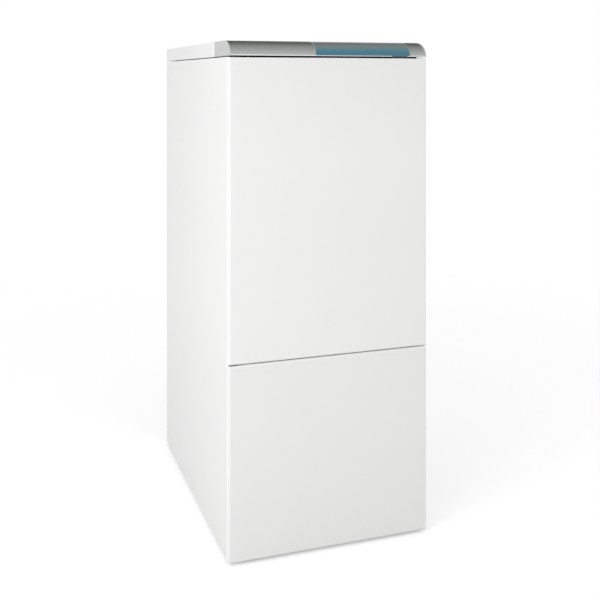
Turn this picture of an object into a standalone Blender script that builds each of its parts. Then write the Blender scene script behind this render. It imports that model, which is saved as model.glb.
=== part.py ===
"""Floor standing gas boiler with a hot water tank below the burner section.

The frame is in metres, +Z up. The origin is on the floor under the centre of the casing,
the front faces -Y, and +X is to the right of someone who stands before the boiler.
"""
import math

import bmesh
import bpy
from mathutils import Matrix, Vector

# Overall size of the casing
WIDTH = 0.574
DEPTH = 0.868
HEIGHT = 1.385
FLOOR_GAP = 0.008

# Clearances shared by all pieces
SEAT = 0.0003
RUNNING = 0.0004
OVERRUN = 0.004

# Casing sheets
SHEET = 0.0012
SHEET_RETURN = 0.020
PANEL_DEPTH = 0.015
PANEL_ROUND = 0.0045
SIDE_ROUND = 0.005
FOLD_ROUND = 0.0025
PANEL_GAP = 0.0015
SEAM = 0.0025
LOWER_PANEL_DROP = 0.019
REAR_RECESS = 0.0455
REAR_TAB_INSET = 0.023
PANEL_HOOK_WIDTH = 0.030
PANEL_HOOK_HEIGHT = 0.020
PANEL_HOOK_SPREAD = 0.160

# Control strip and top cover
COVER_HEIGHT = 0.0425
STRIP_HEIGHT = 0.0418
STRIP_DEPTH = 0.166
STRIP_GAP = 0.0039
STRIP_JOINT = 0.001
CURVE_DEPTH = 0.064
CURVE_DROP = 0.040
CURVE_STEPS = 14
CHEEK = 0.004
FASCIA = 0.0025
HOUSING_SHEET = 0.0015
HOUSING_WALL = 0.0385
HOUSING_FOOT_DEPTH = 0.070
HOUSING_FOOT_INSET = 0.055

# Blue flap over the controls
FLAP_RIGHT = 0.050
FLAP_WIDTH = 0.282
FLAP_SHEET = 0.0022
FLAP_EDGE = 0.0005
FLAP_LIP = 0.0025
FLAP_TOP_SETBACK = 0.007
FLAP_AXIS_SETBACK = 0.009
FLAP_AXIS_DROP = 0.0045
FLAP_SWING_ROOM = 0.0053
FLAP_KNUCKLE_R = 0.0023
FLAP_PIN_R = 0.00125
FLAP_PIN_LENGTH = 0.004
FLAP_LUG_WIDTH = 0.0045
FLAP_LUG_REACH = 0.0045
PULL_RIGHT = 0.0095
PULL_WIDTH = 0.045
PULL_DROP = 0.0045
PULL_THICKNESS = 0.002
PULL_ROOM = 0.0008

# Control plate under the flap, an inclined plane behind the curve
PLATE_SHEET = 0.0025
PLATE_MARGIN = 0.0065
PLATE_TOP_ANGLE = math.radians(18)
PLATE_BOTTOM_ANGLE = math.radians(80)
GAUGE_X = 0.020
GAUGE_R = 0.0150
GAUGE_BEZEL = 0.0015
GAUGE_BODY = 0.012
DISPLAY_X_SHARE = 0.337
DISPLAY_WIDTH = 0.070
DISPLAY_HEIGHT = 0.024
DISPLAY_BODY = 0.006
DISPLAY_PROUD = 0.0005
BUTTON_X_SHARE = 0.525
BUTTON_PITCH = 0.020
BUTTON_R = 0.0042
BUTTON_PROUD = 0.0025
BUTTON_FLANGE = 0.0012
BUTTON_FLANGE_R = 0.0056
DIAL_X_SHARE = 0.709
DIAL_R = 0.010
DIAL_HEIGHT = 0.0045
DIAL_SHAFT_R = 0.0028
DIAL_SHAFT_DEPTH = 0.006
DIAL_MARK = 0.0016
ROCKER_INSET = 0.038
ROCKER_WIDTH = 0.020
ROCKER_DEPTH = 0.012
ROCKER_PROUD = 0.003
ROCKER_BODY = 0.005
ROCKER_ROOM = 0.0007
ROCKER_PIVOT_DEPTH = 0.001
ROCKER_TILT = math.radians(8)

# Frame
FRAME_SHEET = 0.002
RAIL_HEIGHT = 0.040
RAIL_WIDTH = 0.040
POST_WIDTH = 0.025
CROSS_DEPTH = 0.025
SHELF_SKIRT = 0.022
CROSSBAR_SETBACK = 0.010
CROSSBAR_SHEET = 0.003
CROSSBAR_HEIGHT = 0.038

# Levelling feet
FOOT_PAD_R = 0.018
FOOT_PAD_HEIGHT = 0.006
FOOT_STEM_R = 0.005
FOOT_COLLAR_R = 0.009
FOOT_STEM_LENGTH = 0.034
FOOT_INSET_X = 0.031
FOOT_INSET_Y = 0.075

# Door hinges: pins that stand in the door's folded edges
PIVOT_INSET_X = 0.004
PIVOT_INSET_Y = 0.0075
HINGE_PIN_R = 0.0020
HINGE_PIN_LENGTH = 0.0065
HINGE_SHEET = 0.0013
HINGE_WIDTH = 0.024
HINGE_REACH = 0.004
UPPER_HINGE_DEPTH = 0.045
LOWER_HINGE_LEAF = 0.026
LOWER_HINGE_SHEET = 0.0008
LOWER_HINGE_LEAF_GAP = 0.0003

# Hot water tank, a horizontal cylinder
TANK_WALL = 0.004
TANK_HEAD = 0.050
TANK_HEAD_STEPS = 6
TANK_SIDES = 28
NECK_R = 0.066
NECK_WALL = 0.006
NECK_PROUD = 0.008
JACKET_SIDE_ROOM = 0.0175
JACKET_LIFT = 0.0145
JACKET_HEADROOM = 0.003
JACKET_FRONT_ROOM = 0.070
JACKET_BACK_ROOM = 0.015
JACKET_WALL = 0.021
JACKET_FRONT_WALL = 0.064
JACKET_BACK_WALL = 0.072
JACKET_HOLE_R = 0.080
SADDLE_DEPTH = 0.020
SADDLE_FRONT_INSET = 0.040
SADDLE_REAR_INSET = 0.080
SADDLE_HALF_ANGLE = math.radians(40)
SADDLE_ARM = 0.020
SADDLE_ARC_STEPS = 12
FLANGE_R = 0.074
FLANGE_THICKNESS = 0.008
DRAIN_DROP = 0.045
DRAIN_R = 0.010
DRAIN_LENGTH = 0.025
DRAIN_LEVER_LENGTH = 0.026
DRAIN_LEVER_WIDTH = 0.009
DRAIN_LEVER_THICKNESS = 0.006
COIL_R = 0.010
COIL_X = 0.050
COIL_ROOM = 0.0017
COIL_FRONT_INSET = 0.080
COIL_BACK_INSET = 0.100
COIL_RISE = 0.068
COIL_DROP = 0.052

# Cast iron heat exchanger and what stands on it
BLOCK_SIDE_ROOM = 0.1055
BLOCK_FRONT_ROOM = 0.244
BLOCK_BACK_ROOM = 0.157
BLOCK_HEADROOM = 0.3547
CHAMBER_WALL = 0.030
CHAMBER_BACK_WALL = 0.040
CHAMBER_FLOOR = 0.015
CHAMBER_HEIGHT = 0.130
FLUE_SLOTS = 5
FLUE_SLOT_WIDTH = 0.020
FLUE_SLOT_MARGIN = 0.040
FLUE_SLOT_WALL = 0.040
BOSS_R = 0.022
BOSS_LENGTH = 0.012
BOSS_INSET = 0.030
RETURN_BOSS_RISE = 0.285
FLOW_BOSS_DROP = 0.0503
WOOL = 0.020
HOOD_SHEET = 0.0015
HOOD_INSET = 0.015
HOOD_FRONT_INSET = 0.025
HOOD_SKIRT = 0.045
HOOD_RISE = 0.185
HOOD_NARROWING = 0.055
HOOD_FRONT_SLOPE = 0.105
FLUE_R = 0.065
FLUE_RISE = 0.0997
FLUE_LAP = 0.035
FLUE_SIDES = 28

# Burner and gas line
BURNER_PLATE = 0.0022
BURNER_PLATE_MARGIN = 0.008
BURNER_BARS = 4
BURNER_SIDE_ROOM = 0.018
BURNER_BAR_WIDTH = 0.034
BURNER_BAR_HEIGHT = 0.045
BURNER_BAR_RISE = 0.045
BURNER_BACK_ROOM = 0.025
BAR_ROUND_STEPS = 6
MANIFOLD_R = 0.010
MANIFOLD_STANDOFF = 0.032
MANIFOLD_INSET = 0.020
GAS_RISE = 0.065
NOZZLE_R = 0.005
GAS_INSET = 0.0535
VALVE_WIDTH = 0.070
VALVE_DEPTH = 0.060
VALVE_REACH = 0.028
VALVE_BELOW = 0.045
VALVE_ABOVE = 0.045
VALVE_ROUND = 0.004
SOLENOID_R = 0.020
SOLENOID_HEIGHT = 0.045
GAS_PIPE_R = 0.011
COCK_SETBACK = 0.150
COCK_R = 0.017
COCK_LENGTH = 0.034
COCK_STEM_R = 0.006
COCK_STEM_TOP = 0.024
COCK_LEVER_LENGTH = 0.045
COCK_LEVER_WIDTH = 0.012
COCK_HUB_R = 0.008
COCK_LEVER_THICKNESS = 0.006

# Water pipes, pump and fittings
PIPE_R = 0.0135
PIPE_SIDES = 12
BEND_R = 0.030
BEND_STEPS = 4
NUT_R = 0.0185
NUT_LENGTH = 0.014
PIPE_INSET = 0.060
RETURN_RISE = 0.040
WATER_X_SHARE = 0.483
COLD_DROP_SHARE = 0.348
HOT_RISE_SHARE = 0.522
PUMP_SETBACK = 0.139
PUMP_RISE = 0.155
PUMP_PORT = 0.065
PUMP_PORT_R = 0.017
VOLUTE_R = 0.045
VOLUTE_DEPTH = 0.040
MOTOR_R = 0.040
MOTOR_DEPTH = 0.070
PUMP_KNOB_R = 0.016
PUMP_KNOB_DEPTH = 0.012
FLOW_STANDOFF = 0.070
SAFETY_Y = 0.0
SAFETY_BOSS_R = 0.011
SAFETY_BOSS_TOP = 0.023
SAFETY_R = 0.014
SAFETY_HEIGHT = 0.040
SAFETY_OUTLET_R = 0.008
SAFETY_OUTLET = 0.026
SAFETY_KNOB_R = 0.017
SAFETY_KNOB_HEIGHT = 0.020
VESSEL_X = 0.060
VESSEL_DROP = 0.190
VESSEL_R = 0.150
VESSEL_SETBACK = 0.059
VESSEL_DEPTH = 0.090
VESSEL_RIM = 0.012
VESSEL_STEPS = 5
STRAP_WIDTH = 0.060
STRAP_BELOW = 0.040
STRAP_DROP = 0.0085
STRAP_SHEET = 0.003
STRAP_BOSS_R = 0.020
GLAND_X = 0.100
GLAND_DROP = 0.0585
GLAND_R = 0.008
GLAND_NUT_R = 0.013
GLAND_INSIDE = 0.012
GLAND_OUTSIDE = 0.022
ROUND_SIDES = 16

# Places of the casing and frame, worked out from the sizes above
X_OUT = WIDTH / 2
Y_FRONT = -DEPTH / 2
Y_BACK = DEPTH / 2
SKIN_INSIDE = X_OUT - SHEET - SEAT
REAR_OUTER = Y_BACK - REAR_RECESS
FRAME_BACK = REAR_OUTER - SHEET - SEAT
SIDE_FRONT = Y_FRONT + PANEL_DEPTH + PANEL_GAP
FRAME_FRONT = SIDE_FRONT + SIDE_ROUND + SEAT
RAIL_BOTTOM = FLOOR_GAP + SHEET + SEAT
RAIL_TOP = RAIL_BOTTOM + RAIL_HEIGHT
RAIL_INSIDE = SKIN_INSIDE - RAIL_WIDTH
SIDE_TOP = HEIGHT - COVER_HEIGHT - SEAM
POST_TOP = SIDE_TOP - SHEET - SEAT
UNDER_COVER = HEIGHT - SHEET - SEAT
COVER_FRONT = Y_FRONT + STRIP_DEPTH
CROSSBAR_Y = COVER_FRONT + CROSSBAR_SETBACK

# Places of the tank. It fills the width between the rails, and the shelf lies over it.
JACKET_R = RAIL_INSIDE - JACKET_SIDE_ROOM
JACKET_FRONT = Y_FRONT + JACKET_FRONT_ROOM
JACKET_BACK = FRAME_BACK - JACKET_BACK_ROOM
TANK_AXIS_Z = RAIL_TOP + JACKET_LIFT + JACKET_R
TANK_R = JACKET_R - JACKET_WALL
TANK_FRONT = JACKET_FRONT + JACKET_FRONT_WALL
TANK_BACK = JACKET_BACK - JACKET_BACK_WALL
NECK_FRONT = JACKET_FRONT - NECK_PROUD
SADDLE_YS = (TANK_FRONT + SADDLE_FRONT_INSET, TANK_BACK - SADDLE_REAR_INSET)
SHELF_TOP = TANK_AXIS_Z + JACKET_R + JACKET_HEADROOM + SHELF_SKIRT
COIL_FRONT_Y = TANK_FRONT + COIL_FRONT_INSET
COIL_BACK_Y = TANK_BACK - COIL_BACK_INSET
COIL_HIGH_Z = TANK_AXIS_Z + COIL_RISE
COIL_LOW_Z = TANK_AXIS_Z - COIL_DROP
COLD_X = -TANK_R * WATER_X_SHARE
COLD_Z = TANK_AXIS_Z - TANK_R * COLD_DROP_SHARE
HOT_X = TANK_R * WATER_X_SHARE
HOT_Z = TANK_AXIS_Z + TANK_R * HOT_RISE_SHARE

# Places of the front panels, the control strip and what it holds
LOWER_TOP = SHELF_TOP - LOWER_PANEL_DROP
DOOR_BOTTOM = LOWER_TOP + SEAM
DOOR_TOP = HEIGHT - STRIP_HEIGHT - STRIP_GAP
PIVOT_X = -X_OUT + PIVOT_INSET_X
PIVOT_Y = Y_FRONT + PIVOT_INSET_Y
STRIP_BOTTOM = HEIGHT - STRIP_HEIGHT
STRIP_BACK = COVER_FRONT - STRIP_JOINT
CURVE_Y = Y_FRONT + CURVE_DEPTH
CURVE_Z = HEIGHT - CURVE_DROP
FLAP_AXIS_Y = CURVE_Y - FLAP_AXIS_SETBACK
FLAP_AXIS_Z = HEIGHT - FLAP_AXIS_DROP
FLAP_X1 = X_OUT - FLAP_RIGHT
FLAP_X0 = FLAP_X1 - FLAP_WIDTH
PULL_X = FLAP_X1 - PULL_RIGHT - PULL_WIDTH
WINDOW_BOTTOM = STRIP_BOTTOM + FLAP_LIP
DISPLAY_X = FLAP_WIDTH * DISPLAY_X_SHARE
BUTTON_X = FLAP_WIDTH * BUTTON_X_SHARE
DIAL_X = FLAP_WIDTH * DIAL_X_SHARE
ROCKER_X = FLAP_WIDTH - ROCKER_INSET

# Places of the cast iron body, its hood and the burner
BLOCK_HALF_WIDTH = SKIN_INSIDE - BLOCK_SIDE_ROOM
BLOCK_FRONT = Y_FRONT + BLOCK_FRONT_ROOM
BLOCK_BACK = FRAME_BACK - BLOCK_BACK_ROOM
BLOCK_BOTTOM = SHELF_TOP + SEAT
BLOCK_TOP = HEIGHT - BLOCK_HEADROOM
CHAMBER_HALF_WIDTH = BLOCK_HALF_WIDTH - CHAMBER_WALL
CHAMBER_BACK = BLOCK_BACK - CHAMBER_BACK_WALL
FLUE_SLOT_PITCH = 2 * (BLOCK_HALF_WIDTH - FLUE_SLOT_MARGIN) / FLUE_SLOTS
FLUE_SLOT_FRONT = BLOCK_FRONT + FLUE_SLOT_WALL
FLUE_SLOT_BACK = BLOCK_BACK - FLUE_SLOT_WALL
BOSS_X = BOSS_INSET - BLOCK_HALF_WIDTH
RETURN_BOSS_Z = SHELF_TOP + RETURN_BOSS_RISE
FLOW_BOSS_Z = BLOCK_TOP - FLOW_BOSS_DROP
HOOD_HALF_WIDTH = BLOCK_HALF_WIDTH - HOOD_INSET
HOOD_FRONT = BLOCK_FRONT + HOOD_FRONT_INSET
HOOD_BACK = BLOCK_BACK - HOOD_INSET
HOOD_TOP_HALF_WIDTH = HOOD_HALF_WIDTH - HOOD_NARROWING
HOOD_TOP_FRONT = HOOD_FRONT + HOOD_FRONT_SLOPE
FLUE_Z = BLOCK_TOP + FLUE_RISE
FLUE_START = HOOD_BACK - FLUE_LAP
BURNER_PITCH = 2 * (CHAMBER_HALF_WIDTH - BURNER_SIDE_ROOM) / BURNER_BARS
BURNER_BAR_Z = SHELF_TOP + BURNER_BAR_RISE
BURNER_BAR_BACK = CHAMBER_BACK - BURNER_BACK_ROOM

# Places of the gas line, the water pipes and what hangs from the frame
MANIFOLD_Y = BLOCK_FRONT - MANIFOLD_STANDOFF
MANIFOLD_LEFT = MANIFOLD_INSET - CHAMBER_HALF_WIDTH
GAS_X = SKIN_INSIDE - GAS_INSET
GAS_Z = SHELF_TOP + GAS_RISE
VALVE_FRONT = MANIFOLD_Y - VALVE_REACH
COCK_Y = VALVE_FRONT + COCK_SETBACK
PIPE_X = PIPE_INSET - SKIN_INSIDE
RETURN_Z = SHELF_TOP + RETURN_RISE
PUMP_Y = Y_FRONT + PUMP_SETBACK
PUMP_Z = SHELF_TOP + PUMP_RISE
FLOW_FRONT_Y = BLOCK_FRONT - FLOW_STANDOFF
STRAP_TOP = POST_TOP - STRAP_DROP
VESSEL_Z = STRAP_TOP - VESSEL_DROP
VESSEL_FRONT = Y_FRONT + VESSEL_SETBACK
VESSEL_BACK = VESSEL_FRONT + VESSEL_DEPTH
GLAND_Z = POST_TOP - GLAND_DROP


def clear_scene():
    for item in list(bpy.data.objects):
        bpy.data.objects.remove(item)


def linear(channel):
    """One 0-255 display value as the linear value that a shader takes."""
    value = channel / 255
    return value / 12.92 if value <= 0.04045 else ((value + 0.055) / 1.055) ** 2.4


def make_material(name, colour, roughness, metallic=0.0, alpha=1.0):
    material = bpy.data.materials.new(name)
    material.use_nodes = True
    shader = material.node_tree.nodes["Principled BSDF"]
    rgba = (linear(colour[0]), linear(colour[1]), linear(colour[2]), 1.0)
    shader.inputs["Base Color"].default_value = rgba
    shader.inputs["Roughness"].default_value = roughness
    shader.inputs["Metallic"].default_value = metallic
    shader.inputs["Alpha"].default_value = alpha
    material.diffuse_color = rgba
    return material


def make_object(name, bm, material=None, smooth=True):
    """Turns a bmesh into a linked object with faces that point out."""
    bmesh.ops.recalc_face_normals(bm, faces=bm.faces)
    mesh = bpy.data.meshes.new(name)
    bm.to_mesh(mesh)
    bm.free()
    item = bpy.data.objects.new(name, mesh)
    bpy.context.scene.collection.objects.link(item)
    finish_mesh(item, material, smooth)
    return item


def finish_mesh(item, material=None, smooth=True):
    mesh = item.data
    if material is not None:
        mesh.materials.clear()
        mesh.materials.append(material)
    if smooth:
        mesh.shade_smooth()
        mesh.set_sharp_from_angle(angle=math.radians(35))


def bake(item):
    """Replaces an object's mesh by the evaluated one, with its modifiers applied."""
    graph = bpy.context.evaluated_depsgraph_get()
    mesh = bpy.data.meshes.new_from_object(item.evaluated_get(graph))
    item.modifiers.clear()
    item.data = mesh
    return item


def combine(item, tools, operation):
    """Joins tools to an object, or cuts them from it, and removes them."""
    for tool in tools:
        modifier = item.modifiers.new("combine", "BOOLEAN")
        modifier.operation = operation
        modifier.solver = "EXACT"
        modifier.object = tool
        bake(item)
        bpy.data.objects.remove(tool)
    return item


def join(item, *tools):
    return combine(item, tools, "UNION")


def cut(item, *tools):
    return combine(item, tools, "DIFFERENCE")


def place(axis, along, first, second):
    """A point from its place along an axis and its two places across it."""
    if axis == "X":
        return Vector((along, first, second))
    if axis == "Y":
        return Vector((first, along, second))
    return Vector((first, second, along))


def box(name, low, high, material=None, rounded=None, radius=0.0, steps=2):
    """A box between two corners. rounded picks the edges to round by their two ends."""
    bm = bmesh.new()
    corners = []
    for x in (low[0], high[0]):
        for y in (low[1], high[1]):
            for z in (low[2], high[2]):
                corners.append(bm.verts.new((x, y, z)))
    for face in ((0, 1, 3, 2), (4, 6, 7, 5), (0, 4, 5, 1), (2, 3, 7, 6), (0, 2, 6, 4), (1, 5, 7, 3)):
        bm.faces.new([corners[index] for index in face])
    if rounded is not None and radius > 0:
        chosen = [edge for edge in bm.edges if rounded(edge.verts[0].co, edge.verts[1].co)]
        bmesh.ops.bevel(
            bm, geom=chosen, offset=radius, offset_type="OFFSET", segments=steps,
            profile=0.5, affect="EDGES", clamp_overlap=True)
    return make_object(name, bm, material)


def prism(name, outline, axis, low, high, material=None):
    """A closed outline across an axis, carried along it from low to high."""
    bm = bmesh.new()
    near = [bm.verts.new(place(axis, low, *point)) for point in outline]
    far = [bm.verts.new(place(axis, high, *point)) for point in outline]
    bm.faces.new(near)
    bm.faces.new(far[::-1])
    for index in range(len(outline)):
        following = (index + 1) % len(outline)
        bm.faces.new((near[index], near[following], far[following], far[index]))
    return make_object(name, bm, material)


def turned(name, profile, axis, centre, sides=ROUND_SIDES, material=None, closed=False):
    """A profile of (along, radius) pairs turned about an axis through centre."""
    bm = bmesh.new()
    rings = []
    for along, radius in profile:
        if radius == 0:
            rings.append([bm.verts.new(place(axis, along, *centre))])
            continue
        ring = []
        for side in range(sides):
            turn = 2 * math.pi * side / sides
            first = centre[0] + radius * math.cos(turn)
            second = centre[1] + radius * math.sin(turn)
            ring.append(bm.verts.new(place(axis, along, first, second)))
        rings.append(ring)
    pairs = list(zip(rings, rings[1:]))
    if closed:
        pairs.append((rings[-1], rings[0]))
    for ring, following in pairs:
        for side in range(sides):
            other = (side + 1) % sides
            corners = [ring[side % len(ring)], ring[other % len(ring)],
                       following[other % len(following)], following[side % len(following)]]
            unique = list(dict.fromkeys(corners))
            if len(unique) > 2:
                bm.faces.new(unique)
    return make_object(name, bm, material)


def rod(name, axis, centre, low, high, radius, sides=ROUND_SIDES, material=None):
    """A round bar along an axis, with flat ends of one face each."""
    outline = []
    for side in range(sides):
        turn = 2 * math.pi * side / sides
        outline.append((centre[0] + radius * math.cos(turn), centre[1] + radius * math.sin(turn)))
    return prism(name, outline, axis, low, high, material)


def bent_route(corners, radius):
    """The corner points of a route with each corner turned into an arc."""
    route = [Vector(corners[0])]
    for before, corner, after in zip(corners, corners[1:], corners[2:]):
        corner = Vector(corner)
        inward = (corner - Vector(before)).normalized()
        outward = (Vector(after) - corner).normalized()
        start = corner - inward * radius
        middle = start + outward * radius
        for step in range(BEND_STEPS + 1):
            turn = math.pi / 2 * step / BEND_STEPS
            route.append(middle - outward * radius * math.cos(turn) + inward * radius * math.sin(turn))
    route.append(Vector(corners[-1]))
    return route


def pipe(name, corners, radius, material=None, sides=PIPE_SIDES, bend=BEND_R):
    """A round bar swept along a route of square corners."""
    route = bent_route(corners, bend)
    bm = bmesh.new()
    rings = []
    heading = (route[1] - route[0]).normalized()
    across = heading.orthogonal().normalized()
    for index, point in enumerate(route):
        if 0 < index < len(route) - 1:
            ahead = (route[index + 1] - point).normalized()
            behind = (point - route[index - 1]).normalized()
            new_heading = (ahead + behind).normalized()
        elif index == 0:
            new_heading = heading
        else:
            new_heading = (point - route[index - 1]).normalized()
        across = heading.rotation_difference(new_heading) @ across
        heading = new_heading
        other = heading.cross(across)
        ring = []
        for side in range(sides):
            turn = 2 * math.pi * side / sides
            offset = across * math.cos(turn) + other * math.sin(turn)
            ring.append(bm.verts.new(point + offset * radius))
        rings.append(ring)
    bm.faces.new(rings[0])
    bm.faces.new(rings[-1][::-1])
    for ring, following in zip(rings, rings[1:]):
        for side in range(sides):
            after = (side + 1) % sides
            bm.faces.new((ring[side], ring[after], following[after], following[side]))
    return make_object(name, bm, material)


def finish(item, name, material):
    item.name = name
    finish_mesh(item, material)
    return item


def foot_places():
    x = X_OUT - FOOT_INSET_X
    y = DEPTH / 2 - FOOT_INSET_Y
    return {"front_left": (-x, -y), "front_right": (x, -y), "rear_left": (-x, y), "rear_right": (x, y)}


def make_feet(material):
    """Levelling feet: a pad, a collar under the rail and a threaded stem through it."""
    collar_top = RAIL_BOTTOM - SEAT
    stem_top = FOOT_PAD_HEIGHT + FOOT_STEM_LENGTH
    profile = [
        (0.0, 0.0), (0.0, FOOT_PAD_R), (FOOT_PAD_HEIGHT, FOOT_PAD_R), (FOOT_PAD_HEIGHT, FOOT_COLLAR_R),
        (collar_top, FOOT_COLLAR_R), (collar_top, FOOT_STEM_R), (stem_top, FOOT_STEM_R), (stem_top, 0.0)]
    for place_name, (x, y) in foot_places().items():
        foot = turned("foot_" + place_name, profile, "Z", (x, y), material=material)
        centre_object(foot, (x, y, 0.0))


def centre_object(item, point):
    """Moves an object's origin to a point and leaves its mesh where it is."""
    item.data.transform(Matrix.Translation(-Vector(point)))
    item.location = point


def make_rails(material):
    """Two C rails along the sides, open to the middle, with bores for the feet."""
    for side, name in ((-1, "base_rail_left"), (1, "base_rail_right")):
        outer = side * SKIN_INSIDE
        inner = side * RAIL_INSIDE
        web = side * (SKIN_INSIDE - FRAME_SHEET)
        outline = [
            (outer, RAIL_BOTTOM), (inner, RAIL_BOTTOM), (inner, RAIL_BOTTOM + FRAME_SHEET),
            (web, RAIL_BOTTOM + FRAME_SHEET), (web, RAIL_TOP - FRAME_SHEET),
            (inner, RAIL_TOP - FRAME_SHEET), (inner, RAIL_TOP), (outer, RAIL_TOP)]
        rail = prism(name, outline, "Y", FRAME_FRONT, FRAME_BACK)
        bores = []
        for x, y in foot_places().values():
            if x * side > 0:
                bores.append(rod(
                    "bore", "Z", (x, y), RAIL_BOTTOM - OVERRUN, RAIL_BOTTOM + FRAME_SHEET + OVERRUN,
                    FOOT_STEM_R + RUNNING))
        finish(cut(rail, *bores), name, material)


def make_base_cross(material):
    """The front cross member that the lower panel's hooks meet."""
    back = FRAME_FRONT + CROSS_DEPTH
    outline = [
        (FRAME_FRONT, RAIL_BOTTOM), (back, RAIL_BOTTOM), (back, RAIL_BOTTOM + FRAME_SHEET),
        (FRAME_FRONT + FRAME_SHEET, RAIL_BOTTOM + FRAME_SHEET),
        (FRAME_FRONT + FRAME_SHEET, RAIL_TOP - FRAME_SHEET), (back, RAIL_TOP - FRAME_SHEET),
        (back, RAIL_TOP), (FRAME_FRONT, RAIL_TOP)]
    half = RAIL_INSIDE - SEAT
    prism("base_cross_front", outline, "X", -half, half, material)


def make_saddles(material):
    """Two cross members with a cradle that the insulated tank lies in."""
    half = RAIL_INSIDE - SEAT
    radius = JACKET_R + SEAT
    arc = []
    for step in range(SADDLE_ARC_STEPS + 1):
        angle = SADDLE_HALF_ANGLE * (1 - 2 * step / SADDLE_ARC_STEPS)
        reach = radius / math.cos(math.pi / TANK_SIDES) if 0 < step < SADDLE_ARC_STEPS else radius
        arc.append((reach * math.sin(angle), TANK_AXIS_Z - reach * math.cos(angle)))
    arm_x = arc[0][0] + SADDLE_ARM
    arm_z = arc[0][1]
    outline = [(-half, RAIL_BOTTOM), (half, RAIL_BOTTOM), (half, RAIL_TOP), (arm_x, RAIL_TOP),
               (arm_x, arm_z)] + arc + [(-arm_x, arm_z), (-arm_x, RAIL_TOP), (-half, RAIL_TOP)]
    for name, y in zip(("tank_saddle_front", "tank_saddle_rear"), SADDLE_YS):
        prism(name, outline, "Y", y - SADDLE_DEPTH / 2, y + SADDLE_DEPTH / 2, material)


def make_posts(material):
    """Four angle posts, one leg along the side and one across it."""
    for side, side_name in ((-1, "left"), (1, "right")):
        for end, end_name in ((FRAME_FRONT, "front"), (FRAME_BACK, "rear")):
            inward = 1 if end_name == "front" else -1
            outer = side * SKIN_INSIDE
            inner = side * (SKIN_INSIDE - POST_WIDTH)
            leg_x = side * (SKIN_INSIDE - FRAME_SHEET)
            leg_y = end + inward * FRAME_SHEET
            far_y = end + inward * POST_WIDTH
            outline = [(outer, end), (inner, end), (inner, leg_y),
                       (leg_x, leg_y), (leg_x, far_y), (outer, far_y)]
            name = "post_" + end_name + "_" + side_name
            prism(name, outline, "Z", RAIL_TOP + SEAT, POST_TOP, material)


def coil_bores(low, high, clearance):
    return [rod("bore", "Z", (x, COIL_BACK_Y), low, high, COIL_R + clearance, PIPE_SIDES)
            for x in (-COIL_X, COIL_X)]


def make_shelf(material):
    """The folded tray that carries the heat exchanger above the tank."""
    half = SKIN_INSIDE - FRAME_SHEET - SEAT
    front = FRAME_FRONT + FRAME_SHEET + SEAT
    back = FRAME_BACK - FRAME_SHEET - SEAT
    bottom = SHELF_TOP - SHELF_SKIRT
    shelf = box("shelf", (-half, front, bottom), (half, back, SHELF_TOP))
    hollow = box(
        "hollow", (-half + FRAME_SHEET, front + FRAME_SHEET, bottom - OVERRUN),
        (half - FRAME_SHEET, back - FRAME_SHEET, SHELF_TOP - FRAME_SHEET))
    cut(shelf, hollow, *coil_bores(bottom, SHELF_TOP + OVERRUN, COIL_ROOM))
    finish(shelf, "middle_shelf", material)


def make_crossbar(material):
    """The upper cross member: its ears meet the side panels, its middle carries the cover."""
    narrow = X_OUT - REAR_TAB_INSET
    bottom = POST_TOP - CROSSBAR_HEIGHT
    outline = [(-SKIN_INSIDE, bottom), (SKIN_INSIDE, bottom), (SKIN_INSIDE, POST_TOP), (narrow, POST_TOP),
               (narrow, UNDER_COVER), (-narrow, UNDER_COVER), (-narrow, POST_TOP), (-SKIN_INSIDE, POST_TOP)]
    prism("top_crossbar", outline, "Y", CROSSBAR_Y, CROSSBAR_Y + CROSSBAR_SHEET, material)


def pan(name, low, high, open_axis, open_side, rounded, radius, sheet=SHEET, material=None):
    """A folded sheet pan, open on one side, with rounded outer edges."""
    outer = box(name, low, high, rounded=rounded, radius=radius, steps=3)
    inner_low = [value + sheet for value in low]
    inner_high = [value - sheet for value in high]
    if open_side < 0:
        inner_low[open_axis] = low[open_axis] - OVERRUN
    else:
        inner_high[open_axis] = high[open_axis] + OVERRUN
    middle = [(a + b) / 2 for a, b in zip(low, high)]

    def inner_rounded(first, second):
        """The same edges, found by the side of the middle that they lie on."""
        ends = []
        for point in (first, second):
            corner = [low[i] if point[i] < middle[i] else high[i] for i in range(3)]
            ends.append(Vector(corner))
        return rounded(ends[0], ends[1])

    inner = box("hollow", inner_low, inner_high, rounded=inner_rounded,
                radius=max(radius - sheet, 0.0), steps=3)
    cut(outer, inner)
    if material is not None:
        finish(outer, name, material)
    return outer


def on_plane(axis, value):
    """Picks edges that lie in a plane across an axis."""
    def chooser(first, second):
        return abs(first[axis] - value) < OVERRUN and abs(second[axis] - value) < OVERRUN
    return chooser


def make_side_panels(material):
    """Side panels with returns at all four edges and a rounded front edge."""
    for side, name in ((-1, "side_panel_left"), (1, "side_panel_right")):
        outer = side * X_OUT
        inner = side * (X_OUT - SHEET_RETURN)
        low = (min(outer, inner), SIDE_FRONT, FLOOR_GAP)
        high = (max(outer, inner), Y_BACK, SIDE_TOP)

        def upright(first, second, outer=outer):
            outside = on_plane(0, outer)(first, second)
            return outside and abs(first.y - second.y) < OVERRUN
        pan(name, low, high, 0, -side, upright, SIDE_ROUND, material=material)


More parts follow.
